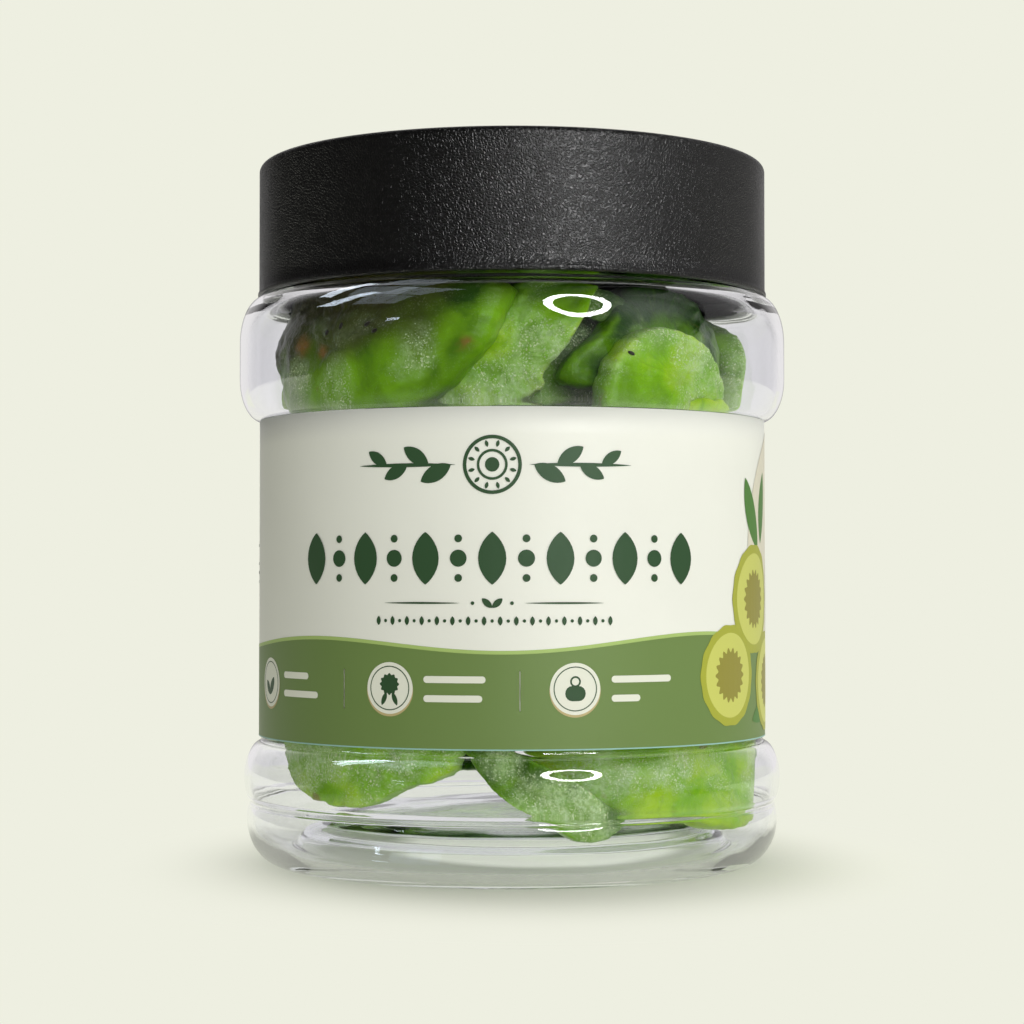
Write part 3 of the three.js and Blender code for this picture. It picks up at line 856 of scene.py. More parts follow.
def print_back(sheet):
    """The ruled panel on the back of the label."""
    left, right, low, high = BACK_MIDDLE - 26, BACK_MIDDLE + 26, 41.5, 69.5
    for height in (low, high):
        flat_bar(sheet, left, height, right - left, 0.35)
    for i in range(1, 8):
        height = low + (high - low) * i / 8
        flat_bar(sheet, left + 2, height, right - left - 4, 0.12)
        flat_bar(sheet, left + 3, height + 1.2, 12 + 6 * draw(700 + i), 0.75)
        flat_bar(sheet, right - 11, height + 1.2, 4 + 3 * draw(720 + i), 0.75)
    for i in range(5):
        flat_bar(sheet, -90, 52.8 - 1.5 * i, 22 + 9 * draw(740 + i), 0.5)


def print_pale(sheet):
    """The pale marks on the band: discs, dividers and bars."""
    for place in BADGES:
        flat_disc(sheet, place, BADGE_HEIGHT, BADGE_RADIUS, 64)
    for place in DIVIDERS:
        flat_bar(sheet, place - 0.07, BADGE_HEIGHT - 0.3, 0.14, 6.1)
    for left, upper, lower in BARS:
        flat_bar(sheet, left, BADGE_HEIGHT + 1.4, upper, 1.05)
        flat_bar(sheet, left, BADGE_HEIGHT - 1.5, lower, 1.05)
    for i in range(9):
        flat_leaf(sheet, BACK_MIDDLE - 24 + 6 * i, 29, 3.4, 1.3, 90)


def print_gold(sheet):
    """The soft tan edge under each disc on the band."""
    for place in BADGES:
        flat_disc(sheet, place, BADGE_HEIGHT - 0.32, BADGE_RADIUS + 0.06, 64)


# Round fruits and leaves at the right of the label: place along it, height and radius.
ROUNDS = ((40.5, 32, 8.0), (50, 44, 8.8), (59, 30.5, 8.2), (69, 44, 8.6), (79, 31.5, 8.0))


def print_beige(sheet):
    """A plain disc of beige behind the round fruits."""
    flat_disc(sheet, 67, 52, 20, 96)


def print_rounds(share, scallops, depth):
    """Makes the print of one part of each round fruit, by its share of the radius and its edge."""
    def shapes(sheet):
        for along, height, radius in ROUNDS:
            flat_petals(sheet, along, height, share * radius, scallops, depth)
    return shapes


def print_leaves(sheet):
    """Leaves that fan out between the round fruits."""
    for along, height, turn, length in (
            (52, 52, 118, 13), (54, 53, 78, 12), (70, 55, 104, 13), (88, 44, 60, 12),
            (75, 38, -72, 12), (49, 24.5, 8, 9)):
        flat_leaf(sheet, along, height, length, 0.34 * length, turn, bend=0.4)


class KIWI_OT_label(bpy.types.Operator):
    """Make the label: a sleeve with an overlap at the back, its band, and its print"""

    bl_idname = "kiwi.label"
    bl_label = "Label"

    def execute(self, context):
        settings = context.scene.kiwi_label
        low, high = LABEL_LOW.z, LABEL_HIGH.z
        width = settings.piping_width / MM
        ground = add_piece(
            "label_sleeve",
            sleeve(lambda _: low, lambda _: high, LABEL_RADIUS - 0.06, 12, overlap=2.5),
            printed_film("label_ivory", settings.ivory))
        wall = ground.modifiers.new("film", "SOLIDIFY")
        wall.thickness = 0.14 * MM
        wall.offset = -1
        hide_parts("label")
        bands = (
            ("label_band", lambda _: low, band_top, 0.03, 3, "band_green", settings.band),
            ("label_piping", band_top, lambda a: band_top(a) + width, 0.02, 1, "piping_lime",
             settings.piping),
            ("label_edge", lambda _: low, lambda _: low + 0.22, 0.01, 1, "edge_teal",
             (0.30, 0.52, 0.46)),
        )
        for name, bottom, top, inset, rows, finish, color in bands:
            add_piece(name, sleeve(bottom, top, LABEL_RADIUS - inset, rows),
                      printed_film(finish, color))
        prints = (
            ("print_beige", print_beige, (0.74, 0.70, 0.56), 0.0),
            ("print_gold", print_gold, (0.52, 0.42, 0.20), 0.0),
            ("print_leaves", print_leaves, (0.075, 0.22, 0.030), 0.01),
            ("print_lime", print_rounds(1, 14, 0.012), (0.40, 0.42, 0.035), 0.02),
            ("print_lime_rings", print_rounds(0.84, 8, 0), (0.60, 0.62, 0.13), 0.03),
            ("print_lime_hearts", print_rounds(0.5, 18, 0.10), (0.30, 0.27, 0.035), 0.04),
            ("print_pale", print_pale, (0.80, 0.81, 0.70), 0.01),
            ("print_ink", print_ink, settings.ink, 0.03),
            ("print_back", print_back, settings.ink, 0.0),
        )
        for name, shapes, color, proud in prints:
            sheet = bmesh.new()
            shapes(sheet)
            wrap_print(sheet, proud)
            add_piece(name, sheet, printed_film(name, color))
        return {"FINISHED"}


# ---------------------------------------------------------------- fruit


FRUIT_RADIUS = 40.6
FRUIT_NECK_RADIUS = 38.1
FRUIT_DOME_RISE = 5.2
NECK_NARROWS = (84, 93.4)


def fruit_low(radius):
    """The lowest the fruit lies at this radius: just over the dome of the jar's floor."""
    return FRUIT_LOW.z + FRUIT_DOME_RISE * math.sqrt(max(0, 1 - (radius / DOME_RADIUS) ** 2))


def fit_in_jar(radius, height):
    """The share by which a point is drawn in, so that it stays in the jar."""
    squeeze = 1 - smooth(height, *NECK_NARROWS) * (1 - FRUIT_NECK_RADIUS / FRUIT_RADIUS)
    return min(squeeze, FRUIT_RADIUS * squeeze / max(radius, 1e-6))


def unit_slice(rings, rim_steps, steps):
    """A flat round pill of radius 1 and half height 1, with rings on its faces."""
    edge = 0.87
    face = [(edge * i / rings, -1) for i in range(rings)]
    rim = []
    for i in range(rim_steps + 1):
        angle = math.radians(-90 + 180 * i / rim_steps)
        out = abs(math.cos(angle)) ** 0.6
        rim.append((edge + (1 - edge) * out,
                    math.copysign(abs(math.sin(angle)) ** 0.7, angle)))
    back = [(radius, -height) for radius, height in reversed(face)]
    return spun(face + rim + back, steps)


def rounded(edge):
    """The closed outline with its corners cut twice."""
    for _ in range(2):
        edge = [
            (between((x, next_x), share), between((y, next_y), share))
            for (x, y), (next_x, next_y) in zip(edge, edge[1:] + edge[:1])
            for share in (0.25, 0.75)]
    return edge


def edge_reach(cut, angle):
    """How far a slice's outline lies from its middle along a heading."""
    heading = round(angle, 6)
    if heading in cut["reach"]:
        return cut["reach"][heading]
    edge = cut["edge"]
    across, up = math.cos(angle), math.sin(angle)
    for (x, y), (next_x, next_y) in zip(edge, edge[1:] + edge[:1]):
        step_x, step_y = next_x - x, next_y - y
        slant = across * step_y - up * step_x
        if abs(slant) < 1e-9:
            continue
        share = (x * up - y * across) / slant
        reach = (x * step_y - y * step_x) / slant
        if -1e-9 <= share <= 1 + 1e-9 and reach > 0:
            cut["reach"][heading] = reach
            return reach
    raise ValueError("an outline doesn't go round its middle")


def place_on_wall(cut, half, corner):
    """The place in the jar of a point of the unit pill, in millimetres."""
    seed = cut["seed"]
    angle = math.atan2(corner.y, corner.x)
    reach = math.hypot(corner.x, corner.y)
    turned = Vector((math.cos(angle), math.sin(angle), 0))
    ruffle = cut["ruffle"] * noise.noise(turned * 2.3 + Vector((seed, 0, corner.z * 0.3)))
    ruffle += 0.030 * noise.noise(turned * 6.5 + Vector((seed, 5, corner.z * 0.6)))
    ruffle += 0.020 * noise.noise(turned * 17.0 + Vector((seed, 9, corner.z * 1.2)))
    out = edge_reach(cut, angle) * reach * (1 + ruffle * smooth(reach, 0.3, 1.0))
    sideways, upwards = out * turned.x, out * turned.y

    place = Vector((sideways, upwards, 40 * draw(seed + 0.3)))
    swell = 1 - 0.14 * (1 - smooth(reach, 0.25, 0.85)) + 0.08 * (1 - smooth(reach, 0.05, 0.22))
    swell += 0.24 * noise.noise(place / 9 + Vector((0, 0, corner.z * 2)))
    swell += 0.15 * noise.noise(place / 3.2 + Vector((0, 0, corner.z * 3)))
    swell += 0.09 * noise.noise(place / 1.3 + Vector((0, 0, corner.z * 3)))
    grooves = noise.noise(turned * 7.5 + Vector((seed * 2, corner.z, reach * 0.6)))
    swell -= 0.06 * max(0, grooves) * smooth(reach, 0.28, 0.5) * (1 - smooth(reach, 0.86, 1.0))
    bow = 1.2 * math.sin(2 * angle + 6 * draw(seed + 0.5)) * reach * reach
    inwards = corner.z * half * swell + bow

    radius = FRUIT_RADIUS - half - cut["inset"] + cut["skew"] * sideways / 20
    lean, round_jar = math.radians(cut["lean"]), math.radians(cut["at"])
    bent = sideways / radius
    tangent = (radius - inwards) * math.sin(bent)
    behind = radius - (radius - inwards) * math.cos(bent)
    height = cut["z"] + upwards * math.cos(lean) - behind * math.sin(lean)
    depth = radius - upwards * math.sin(lean) - behind * math.cos(lean)
    x = depth * math.sin(round_jar) + tangent * math.cos(round_jar)
    y = -depth * math.cos(round_jar) + tangent * math.sin(round_jar)
    inside = fit_in_jar(math.hypot(x, y), height)
    low = fruit_low(math.hypot(x, y) * inside)
    return Vector((x * inside, y * inside, min(FRUIT_HIGH.z, max(low, height))))


def oval_edge(seed):
    """The wavy oval outline of a slice in a ring, turned a little in its own plane."""
    long = between(RING_HALF_LENGTH, draw(seed + 2))
    wide = between(RING_HALF_WIDTH, draw(seed + 3))
    turn = math.radians(50 * (draw(seed + 4) - 0.5))
    edge = []
    for i in range(16):
        angle = FULL_TURN * i / 16
        wave = 1 + 0.05 * math.cos(3 * angle + 6 * draw(seed)) + 0.04 * math.cos(2 * angle)
        across, along = long * wave * math.cos(angle), wide * wave * math.sin(angle)
        edge.append((across * math.cos(turn) - along * math.sin(turn),
                     across * math.sin(turn) + along * math.cos(turn)))
    return edge


def all_slices():
    """Every slice in the jar, with its own seed and the part of the jar that it shows in."""
    slices = [
        {**PLAIN_SLICE, "lean": 0, "ruffle": 0.02,
         "level": "upper" if cut["z"] > UPPER_FROM else "lower", **cut}
        for cut in FRONT_SLICES]
    for ring in SLICE_RINGS:
        spacing = (ring["to"] - ring["from"]) / (ring["count"] - 1)
        for i in range(ring["count"]):
            seed = ring["seed"] * 100 + i * 7
            seed_heading = FULL_TURN * draw(seed + 10)
            slices.append({
                **PLAIN_SLICE,
                "at": ring["from"] + spacing * (i + 0.3 * (draw(seed) - 0.5)),
                "z": ring["z"] + ring["rise"] * (2 * draw(seed + 1) - 1),
                "edge": oval_edge(seed),
                "lean": ring["lean"] + 6 * (draw(seed + 5) - 0.5),
                "inset": ring["inset"] + ring["step"] * (i % 2),
                "ruffle": 0.085,
                "tone": 0.25 + 0.6 * draw(seed + 6),
                "frost": 0.1 + 0.5 * draw(seed + 8),
                "seeds": [(6 * math.cos(seed_heading), 5 * math.sin(seed_heading))],
                "level": ring["level"],
            })
    for i, cut in enumerate(slices):
        cut["seed"] = i
        cut["edge"] = rounded(cut["edge"])
        cut["reach"] = {}
    return slices


def spread(spot, x, y, size, core):
    """How much a round patch covers a spot: fully in its core, then less out to its edge."""
    return 1 - smooth((spot - Vector((x, y))).length, core * size, size)


def finish_at(cut, unit, place):
    """A slice's finish at a point of the unit pill that lies at this place in the jar, with a painted
    rim glow and painted shade under the lid in its tone.
    """
    cloud = noise.noise(place / 9 + Vector((0, 0, cut["seed"])))
    # Near the edge the tone is raised, a painted glow of light through the thin rim; the edge gets a
    # little more sugar too.
    rim = smooth(unit.xy.length, 0.8, 1.0)
    # Toward the top of the heap, under the lid, tone and sugar are lowered: painted shade.
    shaded = smooth(place.z, 84, 95)
    spot = unit.xy * edge_reach(cut, math.atan2(unit.y, unit.x))
    frost = 0.9 * cloud + cut["frost"] + 0.1 * rim - 0.3 * shaded
    frost += sum(amount * spread(spot, x, y, size, 0.4) for x, y, size, amount in cut["frosted"])
    return {
        "tone": cut["tone"] + 0.3 * rim - 0.7 * shaded,
        "frost": min(1, max(0, frost)),
        # Dark brown toward the top: partly the slice's own browning, partly painted shade under the
        # lid.
        "brown_and_shade": cut["brown_and_shade"] * smooth(place.z - 0.45 * place.x + 9 * cloud, 88, 101),
        "mark": sum(spread(spot, x, y, size, 0.3) for x, y, size in cut["marks"]),
    }


def add_slice(heap, template, cut, half):
    """Adds a slice to the heap, with its finish at each corner."""
    known, faces_known = len(heap.verts), len(heap.faces)
    heap.from_mesh(template)
    heap.verts.ensure_lookup_table()
    heap.verts.index_update()
    heap.faces.ensure_lookup_table()
    units = {}
    for corner in heap.verts[known:]:
        unit = corner.co.copy()
        units[corner.index] = unit
        corner.co = place_on_wall(cut, half, unit)
        for name, value in finish_at(cut, unit, corner.co).items():
            corner[heap.verts.layers.float[name]] = value
    across = heap.loops.layers.uv["slice"]
    for face in heap.faces[faces_known:]:
        for loop in face.loops:
            unit = units[loop.vert.index]
            loop[across].uv = (0.5 + 0.5 * unit.x, 0.5 + 0.5 * unit.y)


class KIWI_OT_slices(bpy.types.Operator):
    """Make the slices, in four groups: in the upper window, the lower one, the back and the middle"""

    bl_idname = "kiwi.slices"
    bl_label = "Kiwi Slices"

    def execute(self, context):
        half = context.scene.kiwi_fruit.thickness / MM / 2
        flesh = kiwi_flesh()
        patterns = {"upper": unit_slice(24, 10, 144), "lower": unit_slice(24, 10, 144),
                    "back": unit_slice(11, 8, 80), "middle": unit_slice(6, 6, 36)}
        for level, pattern in patterns.items():
            template = bpy.data.meshes.new("pill")
            pattern.to_mesh(template)
            pattern.free()
            heap = bmesh.new()
            heap.loops.layers.uv.new("slice")
            for name in ("tone", "frost", "brown_and_shade", "mark"):
                heap.verts.layers.float.new(name)
            for cut in all_slices():
                if cut["level"] == level:
                    add_slice(heap, template, cut, half)
            bpy.data.meshes.remove(template)
            bmesh.ops.recalc_face_normals(heap, faces=heap.faces)
            piece = add_piece(f"kiwi_slices_{level}", heap, flesh)
            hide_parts("kiwi_heap")
        return {"FINISHED"}


class KIWI_OT_seeds(bpy.types.Operator):
    """Make the seeds that sit in a ring on the slices' faces"""

    bl_idname = "kiwi.seeds"
    bl_label = "Seeds"

    def execute(self, context):
        half = context.scene.kiwi_fruit.thickness / MM / 2
        size = context.scene.kiwi_fruit.seed_length / MM / 2
        seeds = bmesh.new()
        for cut in all_slices():
            for across, up in cut["seeds"] if cut["level"] != "middle" else ():
                angle = math.atan2(up, across)
                reach = math.hypot(across, up) / edge_reach(cut, angle)
                unit = Vector((reach * math.cos(angle), reach * math.sin(angle), -1))
                outer = Vector((1.04 * unit.x, 1.04 * unit.y, -1))
                middle = place_on_wall(cut, half, unit)
                ahead = place_on_wall(cut, half, outer) - middle
                turn = ahead.to_track_quat("X", "Z").to_matrix().to_4x4()
                form = Matrix.Diagonal((size, 0.56 * size, 0.5 * size, 1))
                bmesh.ops.create_icosphere(
                    seeds, subdivisions=2, radius=1,
                    matrix=Matrix.Translation(middle) @ turn @ form)
        finish = plain_matter("kiwi_seed", (0.012, 0.008, 0.005), 0.32, 1500, 0.00004)
        piece = add_piece("kiwi_seeds", seeds, finish)
        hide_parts("kiwi_heap")
        return {"FINISHED"}


class KIWI_OT_sugar(bpy.types.Operator):
    """Scatter sugar crystals over the dusted parts of the slices"""

    bl_idname = "kiwi.sugar"
    bl_label = "Sugar Crystals"

    def execute(self, context):
        finish = plain_matter("sugar_crystal", (0.60, 0.76, 0.42), 0.22, 2500, 0.00003)
        for level, density in (("upper", 1.3e7), ("lower", 1.3e7), ("back", 4e6)):
            source = bpy.data.objects[f"kiwi_slices_{level}"]
            mesh = source.data.copy()
            grains = bpy.data.objects.new(f"sugar_crystals_{level}", mesh)
            context.scene.collection.objects.link(grains)
            scatter = grains.modifiers.new("scatter", "NODES")
            scatter.node_group = scatter_nodes(density)
            context.view_layer.update()
            seen = grains.evaluated_get(context.evaluated_depsgraph_get())
            done = bpy.data.meshes.new_from_object(seen)
            grains.modifiers.clear()
            grains.data = done
            done.materials.clear()
            done.materials.append(finish)
            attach(grains, "root")
            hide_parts("kiwi_heap")
        return {"FINISHED"}


def scatter_nodes(density):
    """Geometry nodes that put small crystals on a mesh, by its frost attribute."""
    tree = bpy.data.node_groups.new("crystal_scatter", "GeometryNodeTree")
    for way in ("INPUT", "OUTPUT"):
        tree.interface.new_socket("Geometry", in_out=way, socket_type="NodeSocketGeometry")
    inside = tree.nodes.new("NodeGroupInput")
    outside = tree.nodes.new("NodeGroupOutput")
    frost = add_node(tree, "GeometryNodeInputNamedAttribute", {"Name": "frost"}, data_type="FLOAT")
    place = tree.nodes.new("GeometryNodeInputPosition").outputs["Position"]
    normal = tree.nodes.new("GeometryNodeInputNormal").outputs["Normal"]
    clump = ramp(tree, noise_at(tree, place, 450).outputs["Fac"], 0.46, 0.62)
    level = vector_node(tree, "MULTIPLY", place, (1, 1, 0))
    facing = vector_node(tree, "DOT_PRODUCT", level, normal, output="Value")
    amount = product(
        tree, math_node(tree, "POWER", frost.outputs["Attribute"], 2.0), clump, density,
        math_node(tree, "GREATER_THAN", facing, 0))
    points = add_node(tree, "GeometryNodeDistributePointsOnFaces", {
        "Mesh": inside.outputs[0], "Density": amount, "Seed": 11})
    crystal = add_node(tree, "GeometryNodeMeshCube", {"Size": (0.17 * MM,) * 3})
    turn = add_node(tree, "FunctionNodeRandomValue", {"Max": (FULL_TURN,) * 3, "Seed": 5},
                    data_type="FLOAT_VECTOR")
    size = add_node(tree, "FunctionNodeRandomValue", {
        "Min": (0.35, 0.35, 0.35), "Max": (1.15, 1.0, 0.8), "Seed": 7}, data_type="FLOAT_VECTOR")
    copies = add_node(tree, "GeometryNodeInstanceOnPoints", {
        "Points": points.outputs["Points"], "Instance": crystal.outputs["Mesh"],
        "Rotation": turn.outputs[0], "Scale": size.outputs[0]})
    real = add_node(tree, "GeometryNodeRealizeInstances", {"Geometry": copies.outputs[0]})
    tree.links.new(real.outputs["Geometry"], outside.inputs[0])
    return tree


class KIWI_OT_core(bpy.types.Operator):
    """Make the dark lumpy core of the heap, which shows only in the gaps between slices"""

    bl_idname = "kiwi.core"
    bl_label = "Heap Core"

    def execute(self, context):
        outer = 0.86 * (FRUIT_RADIUS - 6)
        profile = dense([
            (0, 24), (0.6 * outer, 24), (outer, 32), (outer, 66), (0.78 * outer, 80),
            (0.62 * outer, 94), (0, 95)], 2.4)
        body = spun(profile, 72)
        for corner in body.verts:
            out = Vector((corner.co.x, corner.co.y, 0)).normalized()
            corner.co += out * 3.0 * noise.noise(corner.co / 12)
        finish = plain_matter("kiwi_shade", (0.055, 0.14, 0.03), 0.5, 300, 0.0004)
        piece = add_piece("kiwi_core", body, finish)
        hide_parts("kiwi_heap")
        return {"FINISHED"}


# ---------------------------------------------------------------- stage


DARK_HEADING = -80
DARK_SPREAD = (0.28, 0.8)


def around(heading, distance, height):
    """A place this many degrees round from the front, in metres."""
    angle = math.radians(heading)
    return Vector((distance * math.sin(angle), -distance * math.cos(angle), height))


def aim(obj, place, target):
    """Turns an object at a place so that its -Z looks at the target."""
    obj.location = place
    obj.rotation_euler = (target - place).to_track_quat("-Z", "Y").to_euler()


def add_area(name, place, target, size, power):
    """A soft rectangular light, which nothing mirrors."""
    light = bpy.data.lights.new(name, "AREA")
    light.shape = "RECTANGLE"
    light.size, light.size_y = size
    light.energy = power
    lamp = bpy.data.objects.new(name, light)
    bpy.context.scene.collection.objects.link(lamp)
    lamp.visible_glossy = False
    lamp.visible_transmission = False
    aim(lamp, place, target)


def add_glow(name, sheet, strength, color):
    """A glowing shape that shows only mirrored: it, its nodes' tree and its strength's socket."""
    mesh = bpy.data.meshes.new(name)
    sheet.to_mesh(mesh)
    sheet.free()
    glow = bpy.data.objects.new(name, mesh)
    bpy.context.scene.collection.objects.link(glow)
    material, tree, shader = new_material(name)
    tree.nodes.remove(shader)
    shine = add_node(tree, "ShaderNodeEmission", {"Color": (*color, 1), "Strength": strength})
    tree.links.new(shine.outputs["Emission"], tree.nodes["Material Output"].inputs["Surface"])
    mesh.materials.append(material)
    glow.visible_camera = False
    glow.visible_diffuse = False
    glow.visible_shadow = False
    return glow, tree, shine.inputs["Strength"]


def compass_of(tree, place):
    """A place's heading from the middle, as a level vector one long."""
    return vector_node(tree, "NORMALIZE", vector_node(tree, "MULTIPLY", place, (1, 1, 0)))


def parts_of(tree, vector):
    """The X, Y and Z of a vector."""
    return add_node(tree, "ShaderNodeSeparateXYZ", {0: vector}).outputs


def studio_world(ground, strength):
    """The studio: soft even light with a dark side at the left front, and plain ground behind."""
    world = bpy.data.worlds.new("studio")
    bpy.context.scene.world = world
    world.use_nodes = True
    world.cycles_visibility.glossy = False
    world.cycles_visibility.transmission = False
    tree = world.node_tree
    tree.nodes.clear()
    facing = vector_node(tree, "DOT_PRODUCT", compass_of(tree, place_node(tree, "Generated")),
                         around(DARK_HEADING, 1, 0), output="Value")
    lamps = add_node(tree, "ShaderNodeBackground", {
        "Color": (1, 1, 0.99, 1),
        "Strength": ramp(tree, facing, *DARK_SPREAD, strength, 0.05 * strength)})
    plain = add_node(tree, "ShaderNodeBackground", {"Color": (*ground, 1)})
    mixed = mix_shaders(tree, light_path(tree)["Is Camera Ray"], lamps.outputs[0], plain.outputs[0])
    add_node(tree, "ShaderNodeOutputWorld", {"Surface": mixed})


def reflected_once(tree):
    """A mask of what is seen by way of a single reflection."""
    depth = light_path(tree)["Glossy Depth"]
    return product(tree, math_node(tree, "GREATER_THAN", depth, 0.5),
                   math_node(tree, "LESS_THAN", depth, 1.5))


def outer_face(tree):
    """A mask of what is mirrored by an outer face, and not within the plastic."""
    return math_node(tree, "LESS_THAN", light_path(tree)["Transmission Depth"], 0.5)


def sharp_mirror(tree):
    """A mask of what is mirrored by a smooth face."""
    return light_path(tree)["Is Singular Ray"]


def add_backdrop(ground):
    """A bright tent all round, which the clear walls show, and mirror where it stands behind."""
    sheet = bmesh.new()
    line = [sheet.verts.new((0, *place)) for place in ((1.5, -0.02), (1.5, 1.0), (1.5, 2.0), (0, 2.0))]
    edges = [sheet.edges.new(pair) for pair in zip(line, line[1:])]
    bmesh.ops.spin(
        sheet, geom=line + edges, cent=(0, 0, 0), axis=(0, 0, 1), dvec=(0, 0, 0),
        angle=FULL_TURN, steps=72, use_merge=True, use_duplicate=False)
    _, tree, strength = add_glow("backdrop", sheet, 1, ground)
    place = place_node(tree)
    compass = parts_of(tree, compass_of(tree, place))
    behind = compass["Y"]
    inner = math_node(tree, "GREATER_THAN", light_path(tree)["Transmission Depth"], 0.5)
    mirrored = largest(
        tree, ramp(tree, compass["X"], 0.2, 0.9, 0.05, 0.40),
        product(tree, ramp(tree, behind, 0.66, 0.87), sharp_mirror(tree)),
        ramp(tree, behind, 0.78, 0.97),
        product(tree, inner, ramp(tree, behind, 0.45, 0.75)))
    # Straight behind, in sharp reflections off the outer face, the tent is darkened: a painted dark
    # outline at the jar's edges.
    outline = product(tree, outer_face(tree), sharp_mirror(tree),
                      ramp(tree, behind, 0.945, 0.985, 0.0, 0.65))
    mirrored = product(tree, mirrored, math_node(tree, "SUBTRACT", 1, outline),
                       math_node(tree, "LESS_THAN", parts_of(tree, place)["Z"], 1.99))
    shown = add_node(tree, "ShaderNodeMix", {0: reflected_once(tree), 2: 1, 3: mirrored},
                     data_type="FLOAT")
    tree.links.new(shown.outputs[0], strength)


def floor_material(ground):
    """A plain pale floor, part glowing, that takes a soft shadow from the lamps and has a soft contact
    shadow painted into its glow, painted light under and behind the jar and painted dark reflections,
    and fades into what lies behind.
    """
    material, tree, shader = new_material("pale_floor")
    place = place_node(tree)
    wide = vector_node(tree, "MULTIPLY_ADD", place, (1.3, 1, 1), (-0.006, 0, 0))
    reach = vector_node(tree, "LENGTH", wide, output="Value")
    behind = vector_node(tree, "DISTANCE", place, (0, 0.058, 0), output="Value")
    path = light_path(tree)
    through = math_node(tree, "GREATER_THAN", path["Transmission Depth"], 0.5)
    # A brighter patch of floor just behind the jar, seen only through the plastic and by light
    # bouncing off it: painted light.
    painted_light_behind_jar = product(tree, ramp(tree, behind, 0.028, 0.052, 0.4, 0.0),
                     largest(tree, path["Is Diffuse Ray"], through))
    # The glow is lowest in a band round the foot, stretched sideways and set a little right by the
    # scaled place above: a painted soft contact shadow. Right under the jar it is raised: painted
    # light that shows through the base.
    glow = math_node(tree, "ADD", ramp(tree, reach, 0.040, 0.088, 0.29, 0.60),
                     ramp(tree, reach, 0.026, 0.034, 0.5, 0.0))
    fill(tree, shader, {
        "Base Color": (*[0.60 * c for c in ground], 1), "Roughness": 0.9,
        "Specular IOR Level": 0.0, "Emission Color": (*ground, 1),
        "Emission Strength": math_node(tree, "ADD", glow, painted_light_behind_jar)})
    plain = add_node(tree, "ShaderNodeEmission", {"Color": (*ground, 1), "Strength": 1})
    floor = mix_shaders(tree, ramp(tree, reach, 0.045, 0.095), shader.outputs["BSDF"],
                        plain.outputs["Emission"])

    parts = parts_of(tree, place)
    outer = outer_face(tree)
    # In single reflections the floor in front is shown black: a painted dark reflection.
    front = product(
        tree, reflected_once(tree), ramp(tree, parts["Y"], 0.045, -0.02, 0.0, 0.94),
        largest(tree, ramp(tree, reach, 0.10, 0.20),
                product(tree, outer, ramp(tree, reach, 0.055, 0.08))))
    # Straight behind, in sharp reflections off the outer face, the floor is darkened: a painted dark
    # outline at the jar's edges.
    straight_behind = math_node(tree, "DIVIDE", parts["Y"], reach)
    outline = product(
        tree, reflected_once(tree), outer, sharp_mirror(tree), ramp(tree, reach, 0.04, 0.08),
        ramp(tree, straight_behind, 0.945, 0.985, 0.0, 0.65))
    # For light bouncing off it, the floor to the left is darkened: painted shade on the jar's left
    # side.
    left = product(tree, path["Is Diffuse Ray"], ramp(tree, parts["X"], -0.03, -0.10, 0.0, 0.2))
    dark = add_node(tree, "ShaderNodeEmission", {"Color": (0, 0, 0, 1)})
    mixed = mix_shaders(tree, largest(tree, front, outline, left), floor, dark.outputs["Emission"])
    tree.links.new(mixed, tree.nodes["Material Output"].inputs["Surface"])
    return material


def add_floor(ground):
    """The round floor."""
    sheet = bmesh.new()
    bmesh.ops.create_circle(sheet, cap_ends=True, radius=6, segments=96)
    mesh = bpy.data.meshes.new("floor")
    sheet.to_mesh(mesh)
    sheet.free()
    mesh.materials.append(floor_material(ground))
    floor = bpy.data.objects.new("floor", mesh)
    bpy.context.scene.collection.objects.link(floor)


def add_card(name, radius, strength, place, target):
    """A round card that fades to its edge and shows only as a soft reflection."""
    sheet = bmesh.new()
    bmesh.ops.create_circle(sheet, cap_ends=True, radius=radius, segments=48)
    card, tree, shown = add_glow(name, sheet, strength, (1, 1, 1))
    aim(card, place, target)
    length = vector_node(tree, "LENGTH", place_node(tree), output="Value")
    tree.links.new(ramp(tree, length, 0.1 * radius, radius, strength, 0.0), shown)


def add_ring_lamp(place, target):
    """A bright ring whose reflection shows on the bulge and near the foot."""
    sheet = bmesh.new()
    flat_ring(sheet, 0, 0, 0.100, 0.026, 64)
    lamp, _, _ = add_glow("ring_lamp", sheet, 32, (1, 1, 1))
    lamp.visible_transmission = False
    aim(lamp, place, target)


def add_window(name, size, panes, strength, place, target):
    """A window of cool light that shows only in sharp reflections, with its size and its panes."""
    sheet = bmesh.new()
    wide, high = size[0] / panes[0], size[1] / panes[1]
    for column in range(panes[0]):
        for row in range(panes[1]):
            pane = bmesh.ops.create_grid(sheet, x_segments=1, y_segments=1, size=0.5)["verts"]
            bmesh.ops.scale(sheet, vec=Vector((0.93 * wide, 0.86 * high, 1)), verts=pane)
            bmesh.ops.translate(sheet, verts=pane, vec=Vector((
                wide * (column + 0.5) - size[0] / 2, high * (row + 0.5) - size[1] / 2, 0)))
    glow, tree, shown = add_glow(name, sheet, strength, (0.78, 0.88, 1.0))
    aim(glow, place, target)
    tree.links.new(product(tree, sharp_mirror(tree), strength, reflected_once(tree)), shown)


def add_camera(settings):
    """The camera at the photo's viewing angle."""
    scene = bpy.context.scene
    camera = bpy.data.cameras.new("camera")
    camera.lens = settings.lens
    camera.sensor_width = 36
    camera.clip_start = 0.01
    eye = bpy.data.objects.new("camera", camera)
    eye.location = (0, -settings.distance, settings.height)
    eye.rotation_euler = (math.radians(90) + settings.pitch, 0, 0)
    scene.collection.objects.link(eye)
    scene.camera = eye


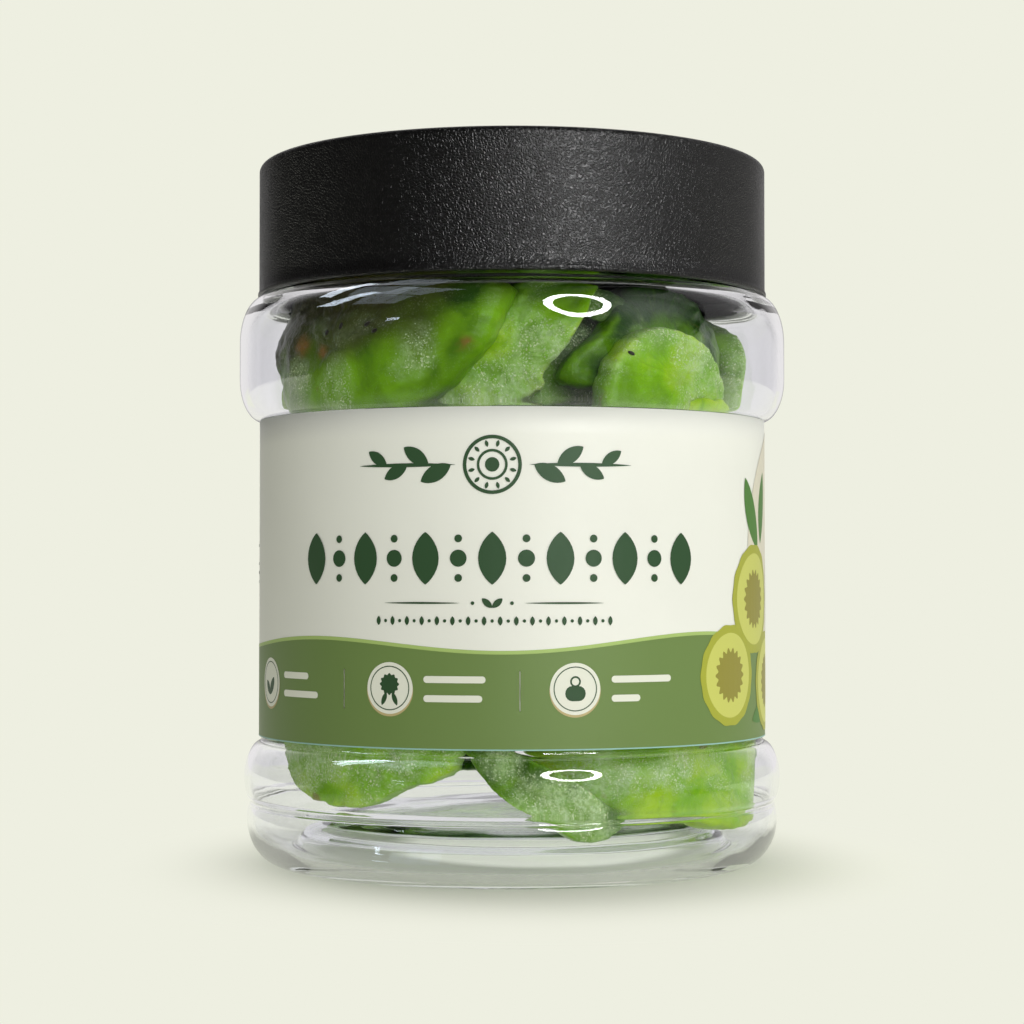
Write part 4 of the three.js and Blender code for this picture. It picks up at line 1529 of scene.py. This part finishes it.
class KIWI_OT_stage(bpy.types.Operator):
    """Set the camera, the pale floor and the studio light"""

    bl_idname = "kiwi.stage"
    bl_label = "Stage"

    def execute(self, context):
        settings = context.scene.kiwi_stage
        context.scene.view_settings.view_transform = "Standard"
        context.scene.cycles.caustics_refractive = False
        context.scene.cycles.caustics_reflective = False
        add_camera(settings)
        studio_world(settings.ground, settings.fill)
        add_backdrop((0.83, 0.81, 0.81))
        add_floor(settings.ground)

        middle = Vector((0, 0, 0.06))
        add_area("key", around(26, 0.9, 0.30), middle, (0.5, 0.4), settings.key)
        add_card("soft_card", 0.34, 0.8, around(58, 0.62, 0.34), middle)
        add_ring_lamp(around(26, 0.40, 0.245), middle)
        add_window("bright_window", (0.09, 0.34), (1, 1), 10, around(-92, 0.495, 0.555), middle)
        add_window("dim_window", (0.28, 0.46), (3, 2), 1.7, around(-66, 0.42, 0.62), middle)
        add_window("small_window", (0.06, 0.014), (1, 1), 9, around(-48, 0.6, 0.177), middle)
        return {"FINISHED"}


# ---------------------------------------------------------------- add-on


class KIWI_PT_panel(bpy.types.Panel):
    """Settings and makers of the jar"""

    bl_label = "Jar of Dried Kiwi"
    bl_idname = "KIWI_PT_panel"
    bl_space_type = "VIEW_3D"
    bl_region_type = "UI"
    bl_category = "Jar"

    def draw(self, context):
        for name in ("kiwi_jar", "kiwi_lid", "kiwi_label", "kiwi_fruit", "kiwi_stage"):
            group = getattr(context.scene, name)
            box = self.layout.box()
            for key in group.bl_rna.properties.keys():
                if key not in ("rna_type", "name"):
                    box.prop(group, key)
        for operator in OPERATORS:
            self.layout.operator(operator.bl_idname)


OPERATORS = (
    KIWI_OT_stage, KIWI_OT_jar, KIWI_OT_lid, KIWI_OT_label, KIWI_OT_slices, KIWI_OT_seeds,
    KIWI_OT_sugar, KIWI_OT_core)
GROUPS = {
    "kiwi_jar": JarSettings, "kiwi_lid": LidSettings, "kiwi_label": LabelSettings,
    "kiwi_fruit": FruitSettings, "kiwi_stage": StageSettings}


def register():
    """Adds the settings, operators and panel to Blender."""
    for cls in (*GROUPS.values(), *OPERATORS, KIWI_PT_panel):
        bpy.utils.register_class(cls)
    for name, cls in GROUPS.items():
        setattr(bpy.types.Scene, name, PointerProperty(type=cls))


def unregister():
    """Takes them out again."""
    for name in GROUPS:
        delattr(bpy.types.Scene, name)
    for cls in (KIWI_PT_panel, *reversed(OPERATORS), *GROUPS.values()):
        bpy.utils.unregister_class(cls)


def main():
    """Builds everything."""
    register()
    for operator in OPERATORS:
        group, name = operator.bl_idname.split(".")
        getattr(getattr(bpy.ops, group), name)()


if __name__ == "__main__":
    main()
